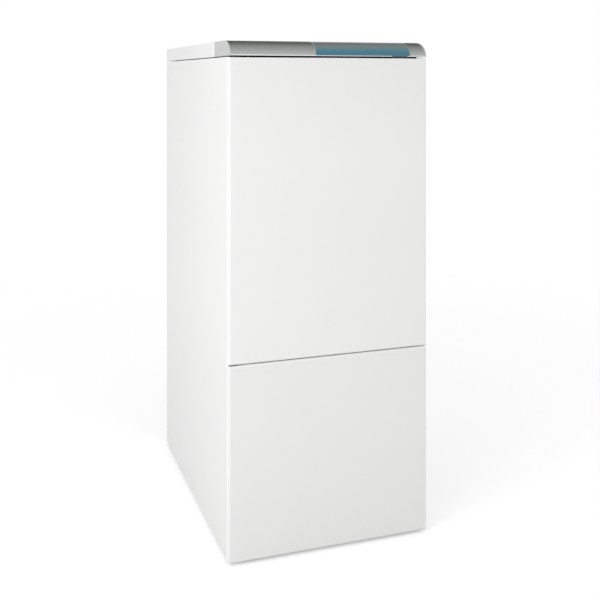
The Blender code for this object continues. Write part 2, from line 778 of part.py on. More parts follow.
def make_lower_panel(material):
    """The lift-off lower panel, with two hooks that meet the front cross member."""
    panel = pan("lower_panel", (-X_OUT, Y_FRONT, FLOOR_GAP), (X_OUT, Y_FRONT + PANEL_DEPTH, LOWER_TOP),
                1, 1, on_plane(1, Y_FRONT), PANEL_ROUND)
    hook_z = (RAIL_BOTTOM + RAIL_TOP) / 2
    hooks = []
    for x in (-PANEL_HOOK_SPREAD, PANEL_HOOK_SPREAD):
        hooks.append(box(
            "hook", (x - PANEL_HOOK_WIDTH / 2, Y_FRONT + SHEET / 2, hook_z - PANEL_HOOK_HEIGHT / 2),
            (x + PANEL_HOOK_WIDTH / 2, FRAME_FRONT - SEAT, hook_z + PANEL_HOOK_HEIGHT / 2)))
    join(panel, *hooks)
    finish(panel, "lower_panel", material)


def make_door(material):
    """The upper front door. Its top and bottom folds are bored for the hinge pins."""
    door = pan("front_door", (-X_OUT, Y_FRONT, DOOR_BOTTOM), (X_OUT, Y_FRONT + PANEL_DEPTH, DOOR_TOP),
               1, 1, on_plane(1, Y_FRONT), PANEL_ROUND)
    bores = []
    for z in (DOOR_BOTTOM, DOOR_TOP):
        bores.append(rod("bore", "Z", (PIVOT_X, PIVOT_Y), z - OVERRUN, z + OVERRUN,
                         HINGE_PIN_R + RUNNING, ROUND_SIDES))
    cut(door, *bores)
    finish(door, "front_door", material)
    centre_object(door, (PIVOT_X, PIVOT_Y, DOOR_BOTTOM))


def make_hinges(material):
    """Two pivot brackets: one lies over the side panel, one is screwed before its front fold."""
    left = -X_OUT + SHEET / 2
    right = left + HINGE_WIDTH
    front = PIVOT_Y - HINGE_REACH
    top_low = SIDE_TOP + SEAT
    upper = box("upper", (left, front, top_low), (right, front + UPPER_HINGE_DEPTH, top_low + HINGE_SHEET))
    pin = rod("pin", "Z", (PIVOT_X, PIVOT_Y), top_low + HINGE_SHEET / 2 - HINGE_PIN_LENGTH,
              top_low + HINGE_SHEET / 2, HINGE_PIN_R)
    finish(join(upper, pin), "door_hinge_upper", material)
    plate_low = LOWER_TOP + (SEAM - HINGE_SHEET) / 2
    leaf_back = SIDE_FRONT - LOWER_HINGE_LEAF_GAP
    leaf_front = leaf_back - LOWER_HINGE_SHEET
    lower = box("lower", (left, front, plate_low), (right, leaf_back, plate_low + HINGE_SHEET))
    leaf = box("leaf", (left + HINGE_REACH, leaf_front, plate_low - LOWER_HINGE_LEAF),
               (right, leaf_back, plate_low + HINGE_SHEET / 2))
    pin = rod("pin", "Z", (PIVOT_X, PIVOT_Y), plate_low + HINGE_SHEET / 2,
              plate_low + HINGE_SHEET / 2 + HINGE_PIN_LENGTH, HINGE_PIN_R)
    finish(join(lower, leaf, pin), "door_hinge_lower", material)


def rear_openings():
    """What passes the rear panel: (name, x, z, radius, sides)."""
    return (
        ("flue", 0.0, FLUE_Z, FLUE_R, FLUE_SIDES), ("gas", GAS_X, GAS_Z, GAS_PIPE_R, PIPE_SIDES),
        ("return", PIPE_X, RETURN_Z, PIPE_R, PIPE_SIDES), ("flow", PIPE_X, FLOW_BOSS_Z, PIPE_R, PIPE_SIDES),
        ("cold", COLD_X, COLD_Z, PIPE_R, PIPE_SIDES), ("hot", HOT_X, HOT_Z, PIPE_R, PIPE_SIDES),
        ("gland", GLAND_X, GLAND_Z, GLAND_R, PIPE_SIDES))


def make_rear_panel(material):
    """The rear panel, recessed so that the stubs stay inside the casing's depth."""
    narrow = X_OUT - REAR_TAB_INSET
    outline = [(-SKIN_INSIDE, RAIL_BOTTOM), (SKIN_INSIDE, RAIL_BOTTOM), (SKIN_INSIDE, POST_TOP),
               (narrow, POST_TOP), (narrow, UNDER_COVER), (-narrow, UNDER_COVER), (-narrow, POST_TOP),
               (-SKIN_INSIDE, POST_TOP)]
    panel = prism("rear", outline, "Y", REAR_OUTER - SHEET, REAR_OUTER)
    bores = []
    for _, x, z, radius, sides in rear_openings():
        bores.append(rod("bore", "Y", (x, z), REAR_OUTER - OVERRUN, REAR_OUTER + OVERRUN,
                         (radius + RUNNING) / math.cos(math.pi / sides), sides))
    finish(cut(panel, *bores), "rear_panel", material)


def make_top_cover(material):
    def upper_edges(first, second):
        level = abs(first.z - second.z) < OVERRUN
        return not (level and first.z < HEIGHT - OVERRUN)
    pan("top_cover", (-X_OUT, COVER_FRONT, HEIGHT - COVER_HEIGHT), (X_OUT, Y_BACK, HEIGHT),
        2, -1, upper_edges, FOLD_ROUND, material=material)


def curve_points(inset, start, end, steps):
    """Points on the strip's front curve, set in by a wall, from one angle to another."""
    points = []
    for step in range(steps + 1):
        angle = start + (end - start) * step / steps
        y = CURVE_Y - (CURVE_DEPTH - inset) * math.sin(angle)
        z = CURVE_Z + (CURVE_DROP - inset) * math.cos(angle)
        points.append((y, z))
    return points


def make_cheeks(material):
    """The strip's two end plates, with its whole side outline."""
    outline = [(STRIP_BACK, STRIP_BOTTOM), (STRIP_BACK, HEIGHT)]
    outline += curve_points(0.0, 0.0, math.pi / 2, CURVE_STEPS)
    outline.append((Y_FRONT, STRIP_BOTTOM))
    prism("cheek_left", outline, "X", -X_OUT, -X_OUT + CHEEK, material)
    prism("cheek_right", outline, "X", X_OUT - CHEEK, X_OUT, material)


def make_fascia(material):
    """The curved front and top of the strip, with the window that the flap closes."""
    outline = [(STRIP_BACK, HEIGHT)] + curve_points(0.0, 0.0, math.pi / 2, CURVE_STEPS)
    outline += [(Y_FRONT, STRIP_BOTTOM), (Y_FRONT + FASCIA, STRIP_BOTTOM)]
    outline += curve_points(FASCIA, math.pi / 2, 0.0, CURVE_STEPS)
    outline.append((STRIP_BACK, HEIGHT - FASCIA))
    half = X_OUT - CHEEK - SEAT
    fascia = prism("fascia", outline, "X", -half, half)
    window_back = FLAP_AXIS_Y + FLAP_SWING_ROOM
    window = box("window", (FLAP_X0 - FLAP_EDGE, Y_FRONT - OVERRUN, WINDOW_BOTTOM),
                 (FLAP_X1 + FLAP_EDGE, window_back, HEIGHT + OVERRUN))
    notch = box("notch", (PULL_X - PULL_ROOM, Y_FRONT - OVERRUN, STRIP_BOTTOM - OVERRUN),
                (PULL_X + PULL_WIDTH + PULL_ROOM, Y_FRONT + OVERRUN, WINDOW_BOTTOM + OVERRUN))
    cut(fascia, window, notch)
    lugs = []
    bores = []
    for inner, outward in ((FLAP_X0 - FLAP_EDGE, -1), (FLAP_X1 + FLAP_EDGE, 1)):
        outer = inner + outward * FLAP_LUG_WIDTH
        low_x, high_x = sorted((inner, outer))
        lugs.append(box(
            "lug", (low_x, FLAP_AXIS_Y - FLAP_LUG_REACH, FLAP_AXIS_Z - FLAP_LUG_REACH),
            (high_x, FLAP_AXIS_Y + FLAP_LUG_REACH, HEIGHT - FASCIA / 2 - RUNNING)))
        bores.append(rod("bore", "X", (FLAP_AXIS_Y, FLAP_AXIS_Z), low_x - OVERRUN, high_x + OVERRUN,
                         FLAP_PIN_R + RUNNING, PIPE_SIDES))
    join(fascia, *lugs)
    cut(fascia, *bores)
    finish(fascia, "control_fascia", material)


def make_flap(material):
    """The translucent flap: a curved sheet, a hinge knuckle with stub pins and a finger pull."""
    top_angle = math.asin(FLAP_TOP_SETBACK / CURVE_DEPTH)
    bottom_z = WINDOW_BOTTOM + FLAP_EDGE
    bottom_angle = math.acos((bottom_z - CURVE_Z) / CURVE_DROP)
    outline = curve_points(0.0, top_angle, bottom_angle, CURVE_STEPS)
    outline += curve_points(FLAP_SHEET, bottom_angle, top_angle, CURVE_STEPS)
    flap = prism("flap", outline, "X", FLAP_X0, FLAP_X1)
    axis_centre = (FLAP_AXIS_Y, FLAP_AXIS_Z)
    knuckle = rod("knuckle", "X", axis_centre, FLAP_X0, FLAP_X1, FLAP_KNUCKLE_R, PIPE_SIDES)
    pins = rod("pins", "X", axis_centre, FLAP_X0 - FLAP_PIN_LENGTH, FLAP_X1 + FLAP_PIN_LENGTH,
               FLAP_PIN_R, PIPE_SIDES)
    pull_back = Y_FRONT + SEAT + PULL_THICKNESS
    pull = box("pull", (PULL_X, Y_FRONT + SEAT, bottom_z - PULL_DROP),
               (PULL_X + PULL_WIDTH, pull_back, bottom_z + PULL_THICKNESS))
    join(flap, knuckle, pins, pull)
    finish(flap, "control_flap", material)
    centre_object(flap, ((FLAP_X0 + FLAP_X1) / 2, FLAP_AXIS_Y, FLAP_AXIS_Z))


def make_housing(material):
    """The tray under the fascia, standing on the side panels by two feet."""
    half = X_OUT - CHEEK - SEAT
    floor_low = STRIP_BOTTOM + SEAT
    front = Y_FRONT + FASCIA + FLAP_EDGE
    tray = box("tray", (-half, front, floor_low), (half, STRIP_BACK, floor_low + HOUSING_SHEET))
    wall = box("wall", (-half, STRIP_BACK - HOUSING_SHEET, floor_low),
               (half, STRIP_BACK, floor_low + HOUSING_WALL))
    feet = []
    for side in (-1, 1):
        outer = side * (X_OUT - SHEET)
        inner = side * (X_OUT - SHEET_RETURN)
        low_x, high_x = sorted((outer, inner))
        high_x = min(high_x, half)
        low_x = max(low_x, -half)
        feet.append(box(
            "foot", (low_x, Y_FRONT + HOUSING_FOOT_INSET, SIDE_TOP + SEAT),
            (high_x, Y_FRONT + HOUSING_FOOT_INSET + HOUSING_FOOT_DEPTH, floor_low + HOUSING_SHEET / 2)))
    join(tray, wall, *feet)
    finish(tray, "control_housing", material)


def control_plane():
    """The middle, half length and tilt of the control plate's front face."""
    inset = FASCIA + SEAT
    upper = curve_points(inset, PLATE_TOP_ANGLE, PLATE_TOP_ANGLE, 1)[0]
    lower = curve_points(inset, PLATE_BOTTOM_ANGLE, PLATE_BOTTOM_ANGLE, 1)[0]
    rise = upper[1] - lower[1]
    run = upper[0] - lower[0]
    middle = Vector((FLAP_X0, (upper[0] + lower[0]) / 2, (upper[1] + lower[1]) / 2))
    return middle, math.hypot(rise, run) / 2, math.atan2(rise, run)


def make_controls(plate_material, dark, button_material, dial_material, rocker_material, gauge_material):
    """The control plate and what is set in it, on an empty in the plate's own plane.

    Along X the empty starts at the flap's left edge. Its Y runs up the plate, its Z out of it.
    """
    middle, half, tilt = control_plane()
    anchor = bpy.data.objects.new("control_plane", None)
    bpy.context.scene.collection.objects.link(anchor)
    anchor.location = middle
    anchor.rotation_euler = (tilt, 0.0, 0.0)

    def settle(item, point=(0.0, 0.0, 0.0)):
        if any(point):
            centre_object(item, point)
        item.parent = anchor

    plate = box("plate", (-PLATE_MARGIN, -half, -PLATE_SHEET), (FLAP_WIDTH + PLATE_MARGIN, half, 0.0))
    button_places = [BUTTON_X + index * BUTTON_PITCH for index in range(2)]
    cutters = [rod("bore", "Z", (GAUGE_X, 0.0), -OVERRUN, OVERRUN, GAUGE_R + RUNNING)]
    cutters.append(rod("bore", "Z", (DIAL_X, 0.0), -OVERRUN, OVERRUN, DIAL_SHAFT_R + RUNNING))
    for x in button_places:
        cutters.append(rod("bore", "Z", (x, 0.0), -OVERRUN, OVERRUN, BUTTON_R + RUNNING))
    cutters.append(box(
        "cutter", (DISPLAY_X - DISPLAY_WIDTH / 2 - RUNNING, -DISPLAY_HEIGHT / 2 - RUNNING, -OVERRUN),
        (DISPLAY_X + DISPLAY_WIDTH / 2 + RUNNING, DISPLAY_HEIGHT / 2 + RUNNING, OVERRUN)))
    cutters.append(box(
        "cutter", (ROCKER_X - ROCKER_WIDTH / 2 - ROCKER_ROOM, -ROCKER_DEPTH / 2 - ROCKER_ROOM, -OVERRUN),
        (ROCKER_X + ROCKER_WIDTH / 2 + ROCKER_ROOM, ROCKER_DEPTH / 2 + ROCKER_ROOM, OVERRUN)))
    settle(finish(cut(plate, *cutters), "control_plate", plate_material))

    display = box(
        "display_window", (DISPLAY_X - DISPLAY_WIDTH / 2, -DISPLAY_HEIGHT / 2, -DISPLAY_BODY),
        (DISPLAY_X + DISPLAY_WIDTH / 2, DISPLAY_HEIGHT / 2, DISPLAY_PROUD), dark)
    settle(display)

    bezel_r = GAUGE_R + GAUGE_BEZEL
    gauge = turned(
        "pressure_gauge",
        [(-GAUGE_BODY, 0.0), (-GAUGE_BODY, GAUGE_R), (SEAT, GAUGE_R), (SEAT, bezel_r),
         (GAUGE_BEZEL + SEAT, bezel_r), (GAUGE_BEZEL + SEAT, GAUGE_R - GAUGE_BEZEL),
         (GAUGE_BEZEL / 2, GAUGE_R - GAUGE_BEZEL), (GAUGE_BEZEL / 2, 0.0)],
        "Z", (GAUGE_X, 0.0), material=gauge_material)
    settle(gauge)

    flange_top = -PLATE_SHEET - SEAT
    for index, x in enumerate(button_places):
        button = turned(
            "push_button_" + str(index + 1),
            [(flange_top - BUTTON_FLANGE, 0.0), (flange_top - BUTTON_FLANGE, BUTTON_FLANGE_R),
             (flange_top, BUTTON_FLANGE_R), (flange_top, BUTTON_R), (BUTTON_PROUD - RUNNING, BUTTON_R),
             (BUTTON_PROUD, BUTTON_R - RUNNING), (BUTTON_PROUD, 0.0)],
            "Z", (x, 0.0), material=button_material)
        settle(button, (x, 0.0, 0.0))

    dial = turned(
        "dial",
        [(-DIAL_SHAFT_DEPTH, 0.0), (-DIAL_SHAFT_DEPTH, DIAL_SHAFT_R), (RUNNING, DIAL_SHAFT_R),
         (RUNNING, DIAL_R), (DIAL_HEIGHT - DIAL_MARK, DIAL_R - DIAL_MARK / 2),
         (DIAL_HEIGHT, DIAL_R - DIAL_MARK), (DIAL_HEIGHT, 0.0)],
        "Z", (DIAL_X, 0.0))
    groove = box("groove", (DIAL_X - DIAL_MARK / 2, 0.0, DIAL_HEIGHT - DIAL_MARK / 2),
                 (DIAL_X + DIAL_MARK / 2, DIAL_R + OVERRUN, DIAL_HEIGHT + OVERRUN))
    settle(finish(cut(dial, groove), "setting_dial", dial_material), (DIAL_X, 0.0, 0.0))

    rocker = box("mains_rocker", (-ROCKER_WIDTH / 2, -ROCKER_DEPTH / 2, -ROCKER_BODY + ROCKER_PIVOT_DEPTH),
                 (ROCKER_WIDTH / 2, ROCKER_DEPTH / 2, ROCKER_PROUD + ROCKER_PIVOT_DEPTH), rocker_material)
    rocker.data.transform(Matrix.Rotation(-ROCKER_TILT, 4, "Y"))
    rocker.location = (ROCKER_X, 0.0, -ROCKER_PIVOT_DEPTH)
    rocker.parent = anchor


def head_points(middle, outward, depth, radius, start, end, steps=TANK_HEAD_STEPS):
    """Points (along, radius) on a domed tank end, by the angle from its pole."""
    points = []
    for step in range(steps + 1):
        angle = start + (end - start) * step / steps
        points.append((middle + outward * depth * math.cos(angle), radius * math.sin(angle)))
    return points


def water_pipe_bores(low, clearance):
    bores = []
    for x, z in ((COLD_X, COLD_Z), (HOT_X, HOT_Z)):
        bores.append(rod("bore", "Y", (x, z), low, Y_BACK, PIPE_R + clearance, PIPE_SIDES))
    return bores


def make_tank(steel, foam, flange_material):
    quarter = math.pi / 2
    neck_angle = math.asin(NECK_R / TANK_R)
    inner_r = TANK_R - TANK_WALL
    inner_neck = NECK_R - NECK_WALL
    inner_angle = math.asin(inner_neck / inner_r)
    inner_head = TANK_HEAD - TANK_WALL
    outside = head_points(TANK_BACK, 1, TANK_HEAD, TANK_R, 0.0, quarter)
    outside += head_points(TANK_FRONT, -1, TANK_HEAD, TANK_R, quarter, neck_angle)
    inside = head_points(TANK_FRONT, -1, inner_head, inner_r, inner_angle, quarter)
    inside += head_points(TANK_BACK, 1, inner_head, inner_r, quarter, 0.0)
    profile = outside + [(NECK_FRONT, NECK_R), (NECK_FRONT, inner_neck)] + inside
    profile[0] = (profile[0][0], 0.0)
    profile[-1] = (profile[-1][0], 0.0)
    centre = (0.0, TANK_AXIS_Z)
    tank = turned("tank", profile, "Y", centre, TANK_SIDES)
    top = TANK_AXIS_Z + JACKET_R + OVERRUN
    cut(tank, *coil_bores(TANK_AXIS_Z, top, RUNNING), *water_pipe_bores(TANK_BACK, RUNNING))
    finish(tank, "storage_tank", steel)

    shell_r = TANK_R + SEAT
    shell_head = TANK_HEAD + SEAT
    hole_angle = math.asin(JACKET_HOLE_R / shell_r)
    hollow = head_points(TANK_FRONT, -1, shell_head, shell_r, hole_angle, quarter)
    hollow += head_points(TANK_BACK, 1, shell_head, shell_r, quarter, 0.0)
    hollow[-1] = (hollow[-1][0], 0.0)
    profile = [(JACKET_BACK, 0.0), (JACKET_BACK, JACKET_R), (JACKET_FRONT, JACKET_R),
               (JACKET_FRONT, JACKET_HOLE_R)] + hollow
    jacket = turned("jacket", profile, "Y", centre, TANK_SIDES)
    cut(jacket, *coil_bores(TANK_AXIS_Z, top, COIL_ROOM), *water_pipe_bores(TANK_BACK, RUNNING))
    finish(jacket, "tank_insulation", foam)

    face = NECK_FRONT - SEAT
    front = face - FLANGE_THICKNESS
    flange = rod("flange", "Y", centre, front, face, FLANGE_R, TANK_SIDES)
    drain_z = TANK_AXIS_Z - DRAIN_DROP
    drain_front = front - DRAIN_LENGTH
    drain = rod("drain", "Y", (0.0, drain_z), drain_front, front + FLANGE_THICKNESS / 2, DRAIN_R)
    finish(join(flange, drain), "tank_flange", flange_material)
    return drain_front, drain_z


def make_drain_lever(drain_front, drain_z, material):
    """The drain cock's lever: it lies level when shut and points down when open."""
    back = drain_front - SEAT
    front = back - DRAIN_LEVER_THICKNESS
    hub = rod("hub", "Y", (0.0, drain_z), front, back, DRAIN_R)
    arm = box("arm", (0.0, front, drain_z - DRAIN_LEVER_WIDTH / 2),
              (DRAIN_LEVER_LENGTH, back, drain_z + DRAIN_LEVER_WIDTH / 2))
    finish(join(hub, arm), "drain_cock_lever", material)
    centre_object(hub, (0.0, back, drain_z))


def make_coil(material):
    """The tube that heats the tank: down from the heat exchanger, through the water and up again."""
    top = SHELF_TOP
    corners = [
        (-COIL_X, COIL_BACK_Y, top), (-COIL_X, COIL_BACK_Y, COIL_HIGH_Z), (-COIL_X, COIL_FRONT_Y, COIL_HIGH_Z),
        (-COIL_X, COIL_FRONT_Y, COIL_LOW_Z), (COIL_X, COIL_FRONT_Y, COIL_LOW_Z),
        (COIL_X, COIL_BACK_Y, COIL_LOW_Z), (COIL_X, COIL_BACK_Y, top)]
    pipe("tank_coil", corners, COIL_R, material)


def make_heat_exchanger(material):
    """The cast iron body: chamber below, flue ways up through it, two water bosses in front."""
    block = box("block", (-BLOCK_HALF_WIDTH, BLOCK_FRONT, BLOCK_BOTTOM),
                (BLOCK_HALF_WIDTH, BLOCK_BACK, BLOCK_TOP))
    chamber_top = BLOCK_BOTTOM + CHAMBER_FLOOR + CHAMBER_HEIGHT
    cutters = [box(
        "chamber", (-CHAMBER_HALF_WIDTH, BLOCK_FRONT - OVERRUN, BLOCK_BOTTOM + CHAMBER_FLOOR),
        (CHAMBER_HALF_WIDTH, CHAMBER_BACK, chamber_top))]
    for index in range(FLUE_SLOTS):
        x = (index - (FLUE_SLOTS - 1) / 2) * FLUE_SLOT_PITCH
        cutters.append(box(
            "way", (x - FLUE_SLOT_WIDTH / 2, FLUE_SLOT_FRONT, chamber_top - OVERRUN),
            (x + FLUE_SLOT_WIDTH / 2, FLUE_SLOT_BACK, BLOCK_TOP + OVERRUN)))
    cut(block, *cutters)
    bosses = []
    for z in (RETURN_BOSS_Z, FLOW_BOSS_Z):
        bosses.append(rod("boss", "Y", (BOSS_X, z), BLOCK_FRONT - BOSS_LENGTH, BLOCK_FRONT + OVERRUN, BOSS_R))
    join(block, *bosses)
    finish(block, "heat_exchanger", material)


def make_wool(material):
    """Insulation round three sides of the cast iron body."""
    inner = BLOCK_HALF_WIDTH + SEAT
    outer = inner + WOOL
    back = BLOCK_BACK + SEAT
    outline = [(-outer, BLOCK_FRONT), (-inner, BLOCK_FRONT), (-inner, back), (inner, back),
               (inner, BLOCK_FRONT), (outer, BLOCK_FRONT), (outer, back + WOOL), (-outer, back + WOOL)]
    prism("boiler_insulation", outline, "Z", BLOCK_BOTTOM, BLOCK_TOP, material)


def hood_shape(name, inset, drop):
    """The flue hood's body: an upright skirt that narrows to the top."""
    base = BLOCK_TOP + SEAT
    levels = [
        (base - drop, HOOD_HALF_WIDTH, HOOD_FRONT), (base + HOOD_SKIRT, HOOD_HALF_WIDTH, HOOD_FRONT),
        (base + HOOD_RISE - inset, HOOD_TOP_HALF_WIDTH, HOOD_TOP_FRONT)]
    bm = bmesh.new()
    rings = []
    for z, half, front in levels:
        corners = [(-half + inset, front + inset), (half - inset, front + inset),
                   (half - inset, HOOD_BACK - inset), (-half + inset, HOOD_BACK - inset)]
        rings.append([bm.verts.new((x, y, z)) for x, y in corners])
    bm.faces.new(rings[0])
    bm.faces.new(rings[-1])
    for ring, following in zip(rings, rings[1:]):
        for side in range(4):
            after = (side + 1) % 4
            bm.faces.new((ring[side], ring[after], following[after], following[side]))
    return make_object(name, bm)


def make_hood(material):
    """The draught diverter over the heat exchanger, with the flue collar at the back."""
    hood = hood_shape("hood", 0.0, 0.0)
    collar = rod("collar", "Y", (0.0, FLUE_Z), FLUE_START, Y_BACK, FLUE_R, FLUE_SIDES)
    join(hood, collar)
    bore = rod("bore", "Y", (0.0, FLUE_Z), FLUE_START - OVERRUN, Y_BACK + OVERRUN,
               FLUE_R - HOOD_SHEET, FLUE_SIDES)
    cut(hood, hood_shape("hollow", HOOD_SHEET, OVERRUN), bore)
    finish(hood, "draught_diverter", material)


def make_burner(material):
    """The burner: a front plate that closes the chamber, and four bars with round tops."""
    margin = BURNER_PLATE_MARGIN
    back = BLOCK_FRONT - SEAT
    floor = BLOCK_BOTTOM + CHAMBER_FLOOR
    burner = box("burner", (-CHAMBER_HALF_WIDTH - margin, back - BURNER_PLATE, floor - margin),
                 (CHAMBER_HALF_WIDTH + margin, back, floor + CHAMBER_HEIGHT + margin))
    bars = []
    half = BURNER_BAR_WIDTH / 2
    round_z = BURNER_BAR_Z + BURNER_BAR_HEIGHT - half
    for index in range(BURNER_BARS):
        x = (index - (BURNER_BARS - 1) / 2) * BURNER_PITCH
        outline = [(x - half, BURNER_BAR_Z), (x + half, BURNER_BAR_Z)]
        for step in range(BAR_ROUND_STEPS + 1):
            turn = math.pi * step / BAR_ROUND_STEPS
            outline.append((x + half * math.cos(turn), round_z + half * math.sin(turn)))
        bars.append(prism("bar", outline, "Y", back - BURNER_PLATE / 2, BURNER_BAR_BACK))
    finish(join(burner, *bars), "burner", material)


def make_gas_line(brass, valve_material, yellow, lever_material):
    plate_front = BLOCK_FRONT - SEAT - BURNER_PLATE
    valve_left = GAS_X - VALVE_WIDTH / 2
    manifold = rod("manifold", "X", (MANIFOLD_Y, GAS_Z), MANIFOLD_LEFT, valve_left - SEAT,
                   MANIFOLD_R, PIPE_SIDES)
    nozzles = []
    for index in range(BURNER_BARS):
        x = (index - (BURNER_BARS - 1) / 2) * BURNER_PITCH
        nozzles.append(rod("nozzle", "Y", (x, GAS_Z), MANIFOLD_Y, plate_front - SEAT, NOZZLE_R, PIPE_SIDES))
    finish(join(manifold, *nozzles), "gas_manifold", brass)

    def upright(first, second):
        return abs(first.z - second.z) > OVERRUN
    valve_back = VALVE_FRONT + VALVE_DEPTH
    valve_top = GAS_Z + VALVE_ABOVE
    valve = box("valve", (valve_left, VALVE_FRONT, GAS_Z - VALVE_BELOW),
                (valve_left + VALVE_WIDTH, valve_back, valve_top), rounded=upright, radius=VALVE_ROUND)
    solenoid = rod("solenoid", "Z", (GAS_X, VALVE_FRONT + VALVE_DEPTH / 2), valve_top - OVERRUN,
                   valve_top + SOLENOID_HEIGHT, SOLENOID_R)
    finish(join(valve, solenoid), "gas_valve", valve_material)

    gas_pipe = rod("gas_pipe", "Y", (GAS_X, GAS_Z), valve_back + SEAT, Y_BACK, GAS_PIPE_R, PIPE_SIDES)
    nut = rod("nut", "Y", (GAS_X, GAS_Z), Y_BACK - NUT_LENGTH, Y_BACK, NUT_R, 6)
    body = rod("body", "Y", (GAS_X, GAS_Z), COCK_Y - COCK_LENGTH / 2, COCK_Y + COCK_LENGTH / 2, COCK_R)
    stem_top = GAS_Z + COCK_STEM_TOP
    stem = rod("stem", "Z", (GAS_X, COCK_Y), GAS_Z, stem_top, COCK_STEM_R)
    finish(join(gas_pipe, nut, body, stem), "gas_pipe", yellow)

    lever_low = stem_top + SEAT
    lever_high = lever_low + COCK_LEVER_THICKNESS
    hub = rod("hub", "Z", (GAS_X, COCK_Y), lever_low, lever_high, COCK_HUB_R)
    arm = box("arm", (GAS_X - COCK_LEVER_WIDTH / 2, COCK_Y - COCK_LEVER_LENGTH, lever_low),
              (GAS_X + COCK_LEVER_WIDTH / 2, COCK_Y, lever_high))
    finish(join(hub, arm), "gas_cock_lever", lever_material)
    centre_object(hub, (GAS_X, COCK_Y, lever_low))


def make_pump(iron, knob_material):
    """The circulating pump: volute with its two ports, motor, and the speed knob before it."""
    centre = (PIPE_X, PUMP_Z)
    volute_front = PUMP_Y - VOLUTE_DEPTH / 2
    motor_front = volute_front - MOTOR_DEPTH
    pump = rod("pump", "Y", centre, volute_front, volute_front + VOLUTE_DEPTH, VOLUTE_R, ROUND_SIDES)
    motor = rod("motor", "Y", centre, motor_front, volute_front + OVERRUN, MOTOR_R, ROUND_SIDES)
    ports = rod("ports", "Z", (PIPE_X, PUMP_Y), PUMP_Z - PUMP_PORT, PUMP_Z + PUMP_PORT, PUMP_PORT_R)
    finish(join(pump, motor, ports), "heating_pump", iron)
    knob_back = motor_front - SEAT
    knob = rod("knob", "Y", centre, knob_back - PUMP_KNOB_DEPTH, knob_back, PUMP_KNOB_R)
    finish(knob, "pump_speed_knob", knob_material)
    centre_object(knob, (PIPE_X, knob_back, PUMP_Z))


def pipe_nut(x, z):
    return rod("nut", "Y", (x, z), Y_BACK - NUT_LENGTH, Y_BACK, NUT_R, 6)


def make_pipes(copper, brass, red):
    boss_front = BLOCK_FRONT - BOSS_LENGTH - SEAT
    return_pipe = pipe(
        "return", [(PIPE_X, Y_BACK, RETURN_Z), (PIPE_X, PUMP_Y, RETURN_Z),
                   (PIPE_X, PUMP_Y, PUMP_Z - PUMP_PORT - SEAT)], PIPE_R)
    finish(join(return_pipe, pipe_nut(PIPE_X, RETURN_Z)), "return_pipe", copper)
    pipe("pump_pipe", [
        (PIPE_X, PUMP_Y, PUMP_Z + PUMP_PORT + SEAT), (PIPE_X, PUMP_Y, RETURN_BOSS_Z),
        (BOSS_X, PUMP_Y, RETURN_BOSS_Z), (BOSS_X, boss_front, RETURN_BOSS_Z)], PIPE_R, copper)
    flow = pipe("flow", [
        (BOSS_X, boss_front, FLOW_BOSS_Z), (BOSS_X, FLOW_FRONT_Y, FLOW_BOSS_Z),
        (PIPE_X, FLOW_FRONT_Y, FLOW_BOSS_Z), (PIPE_X, Y_BACK, FLOW_BOSS_Z)], PIPE_R)
    boss_top = FLOW_BOSS_Z + SAFETY_BOSS_TOP
    boss = rod("boss", "Z", (PIPE_X, SAFETY_Y), FLOW_BOSS_Z, boss_top, SAFETY_BOSS_R)
    finish(join(flow, pipe_nut(PIPE_X, FLOW_BOSS_Z), boss), "flow_pipe", copper)
    for name, x, z in (("cold_water_pipe", COLD_X, COLD_Z), ("hot_water_pipe", HOT_X, HOT_Z)):
        straight = rod("straight", "Y", (x, z), TANK_BACK, Y_BACK, PIPE_R, PIPE_SIDES)
        finish(join(straight, pipe_nut(x, z)), name, copper)

    body_low = boss_top + SEAT
    body_high = body_low + SAFETY_HEIGHT
    valve = rod("valve", "Z", (PIPE_X, SAFETY_Y), body_low, body_high, SAFETY_R)
    outlet = rod("outlet", "Y", (PIPE_X, (body_low + body_high) / 2), SAFETY_Y, SAFETY_Y + SAFETY_OUTLET,
                 SAFETY_OUTLET_R, PIPE_SIDES)
    finish(join(valve, outlet), "safety_valve", brass)
    knob_low = body_high + SEAT
    knob = rod("knob", "Z", (PIPE_X, SAFETY_Y), knob_low, knob_low + SAFETY_KNOB_HEIGHT, SAFETY_KNOB_R, 8)
    finish(knob, "safety_valve_knob", red)
    centre_object(knob, (PIPE_X, SAFETY_Y, knob_low))


def make_vessel(material):
    """The flat expansion vessel, hung from the upper cross member by a strap."""
    middle = (VESSEL_FRONT + VESSEL_BACK) / 2
    rim = VESSEL_RIM / 2
    dome = (VESSEL_BACK - VESSEL_FRONT) / 2 - rim
    quarter = math.pi / 2
    profile = head_points(middle + rim, 1, dome, VESSEL_R, 0.0, quarter, VESSEL_STEPS)
    profile += head_points(middle - rim, -1, dome, VESSEL_R, quarter, 0.0, VESSEL_STEPS)
    profile[0] = (profile[0][0], 0.0)
    profile[-1] = (profile[-1][0], 0.0)
    vessel = turned("vessel", profile, "Y", (VESSEL_X, VESSEL_Z), TANK_SIDES)
    strap_back = CROSSBAR_Y - SEAT
    boss = rod("boss", "Y", (VESSEL_X, VESSEL_Z), middle, strap_back - STRAP_SHEET / 2, STRAP_BOSS_R)
    strap = box("strap", (VESSEL_X - STRAP_WIDTH / 2, strap_back - STRAP_SHEET, VESSEL_Z - STRAP_BELOW),
                (VESSEL_X + STRAP_WIDTH / 2, strap_back, STRAP_TOP))
    finish(join(vessel, boss, strap), "expansion_vessel", material)


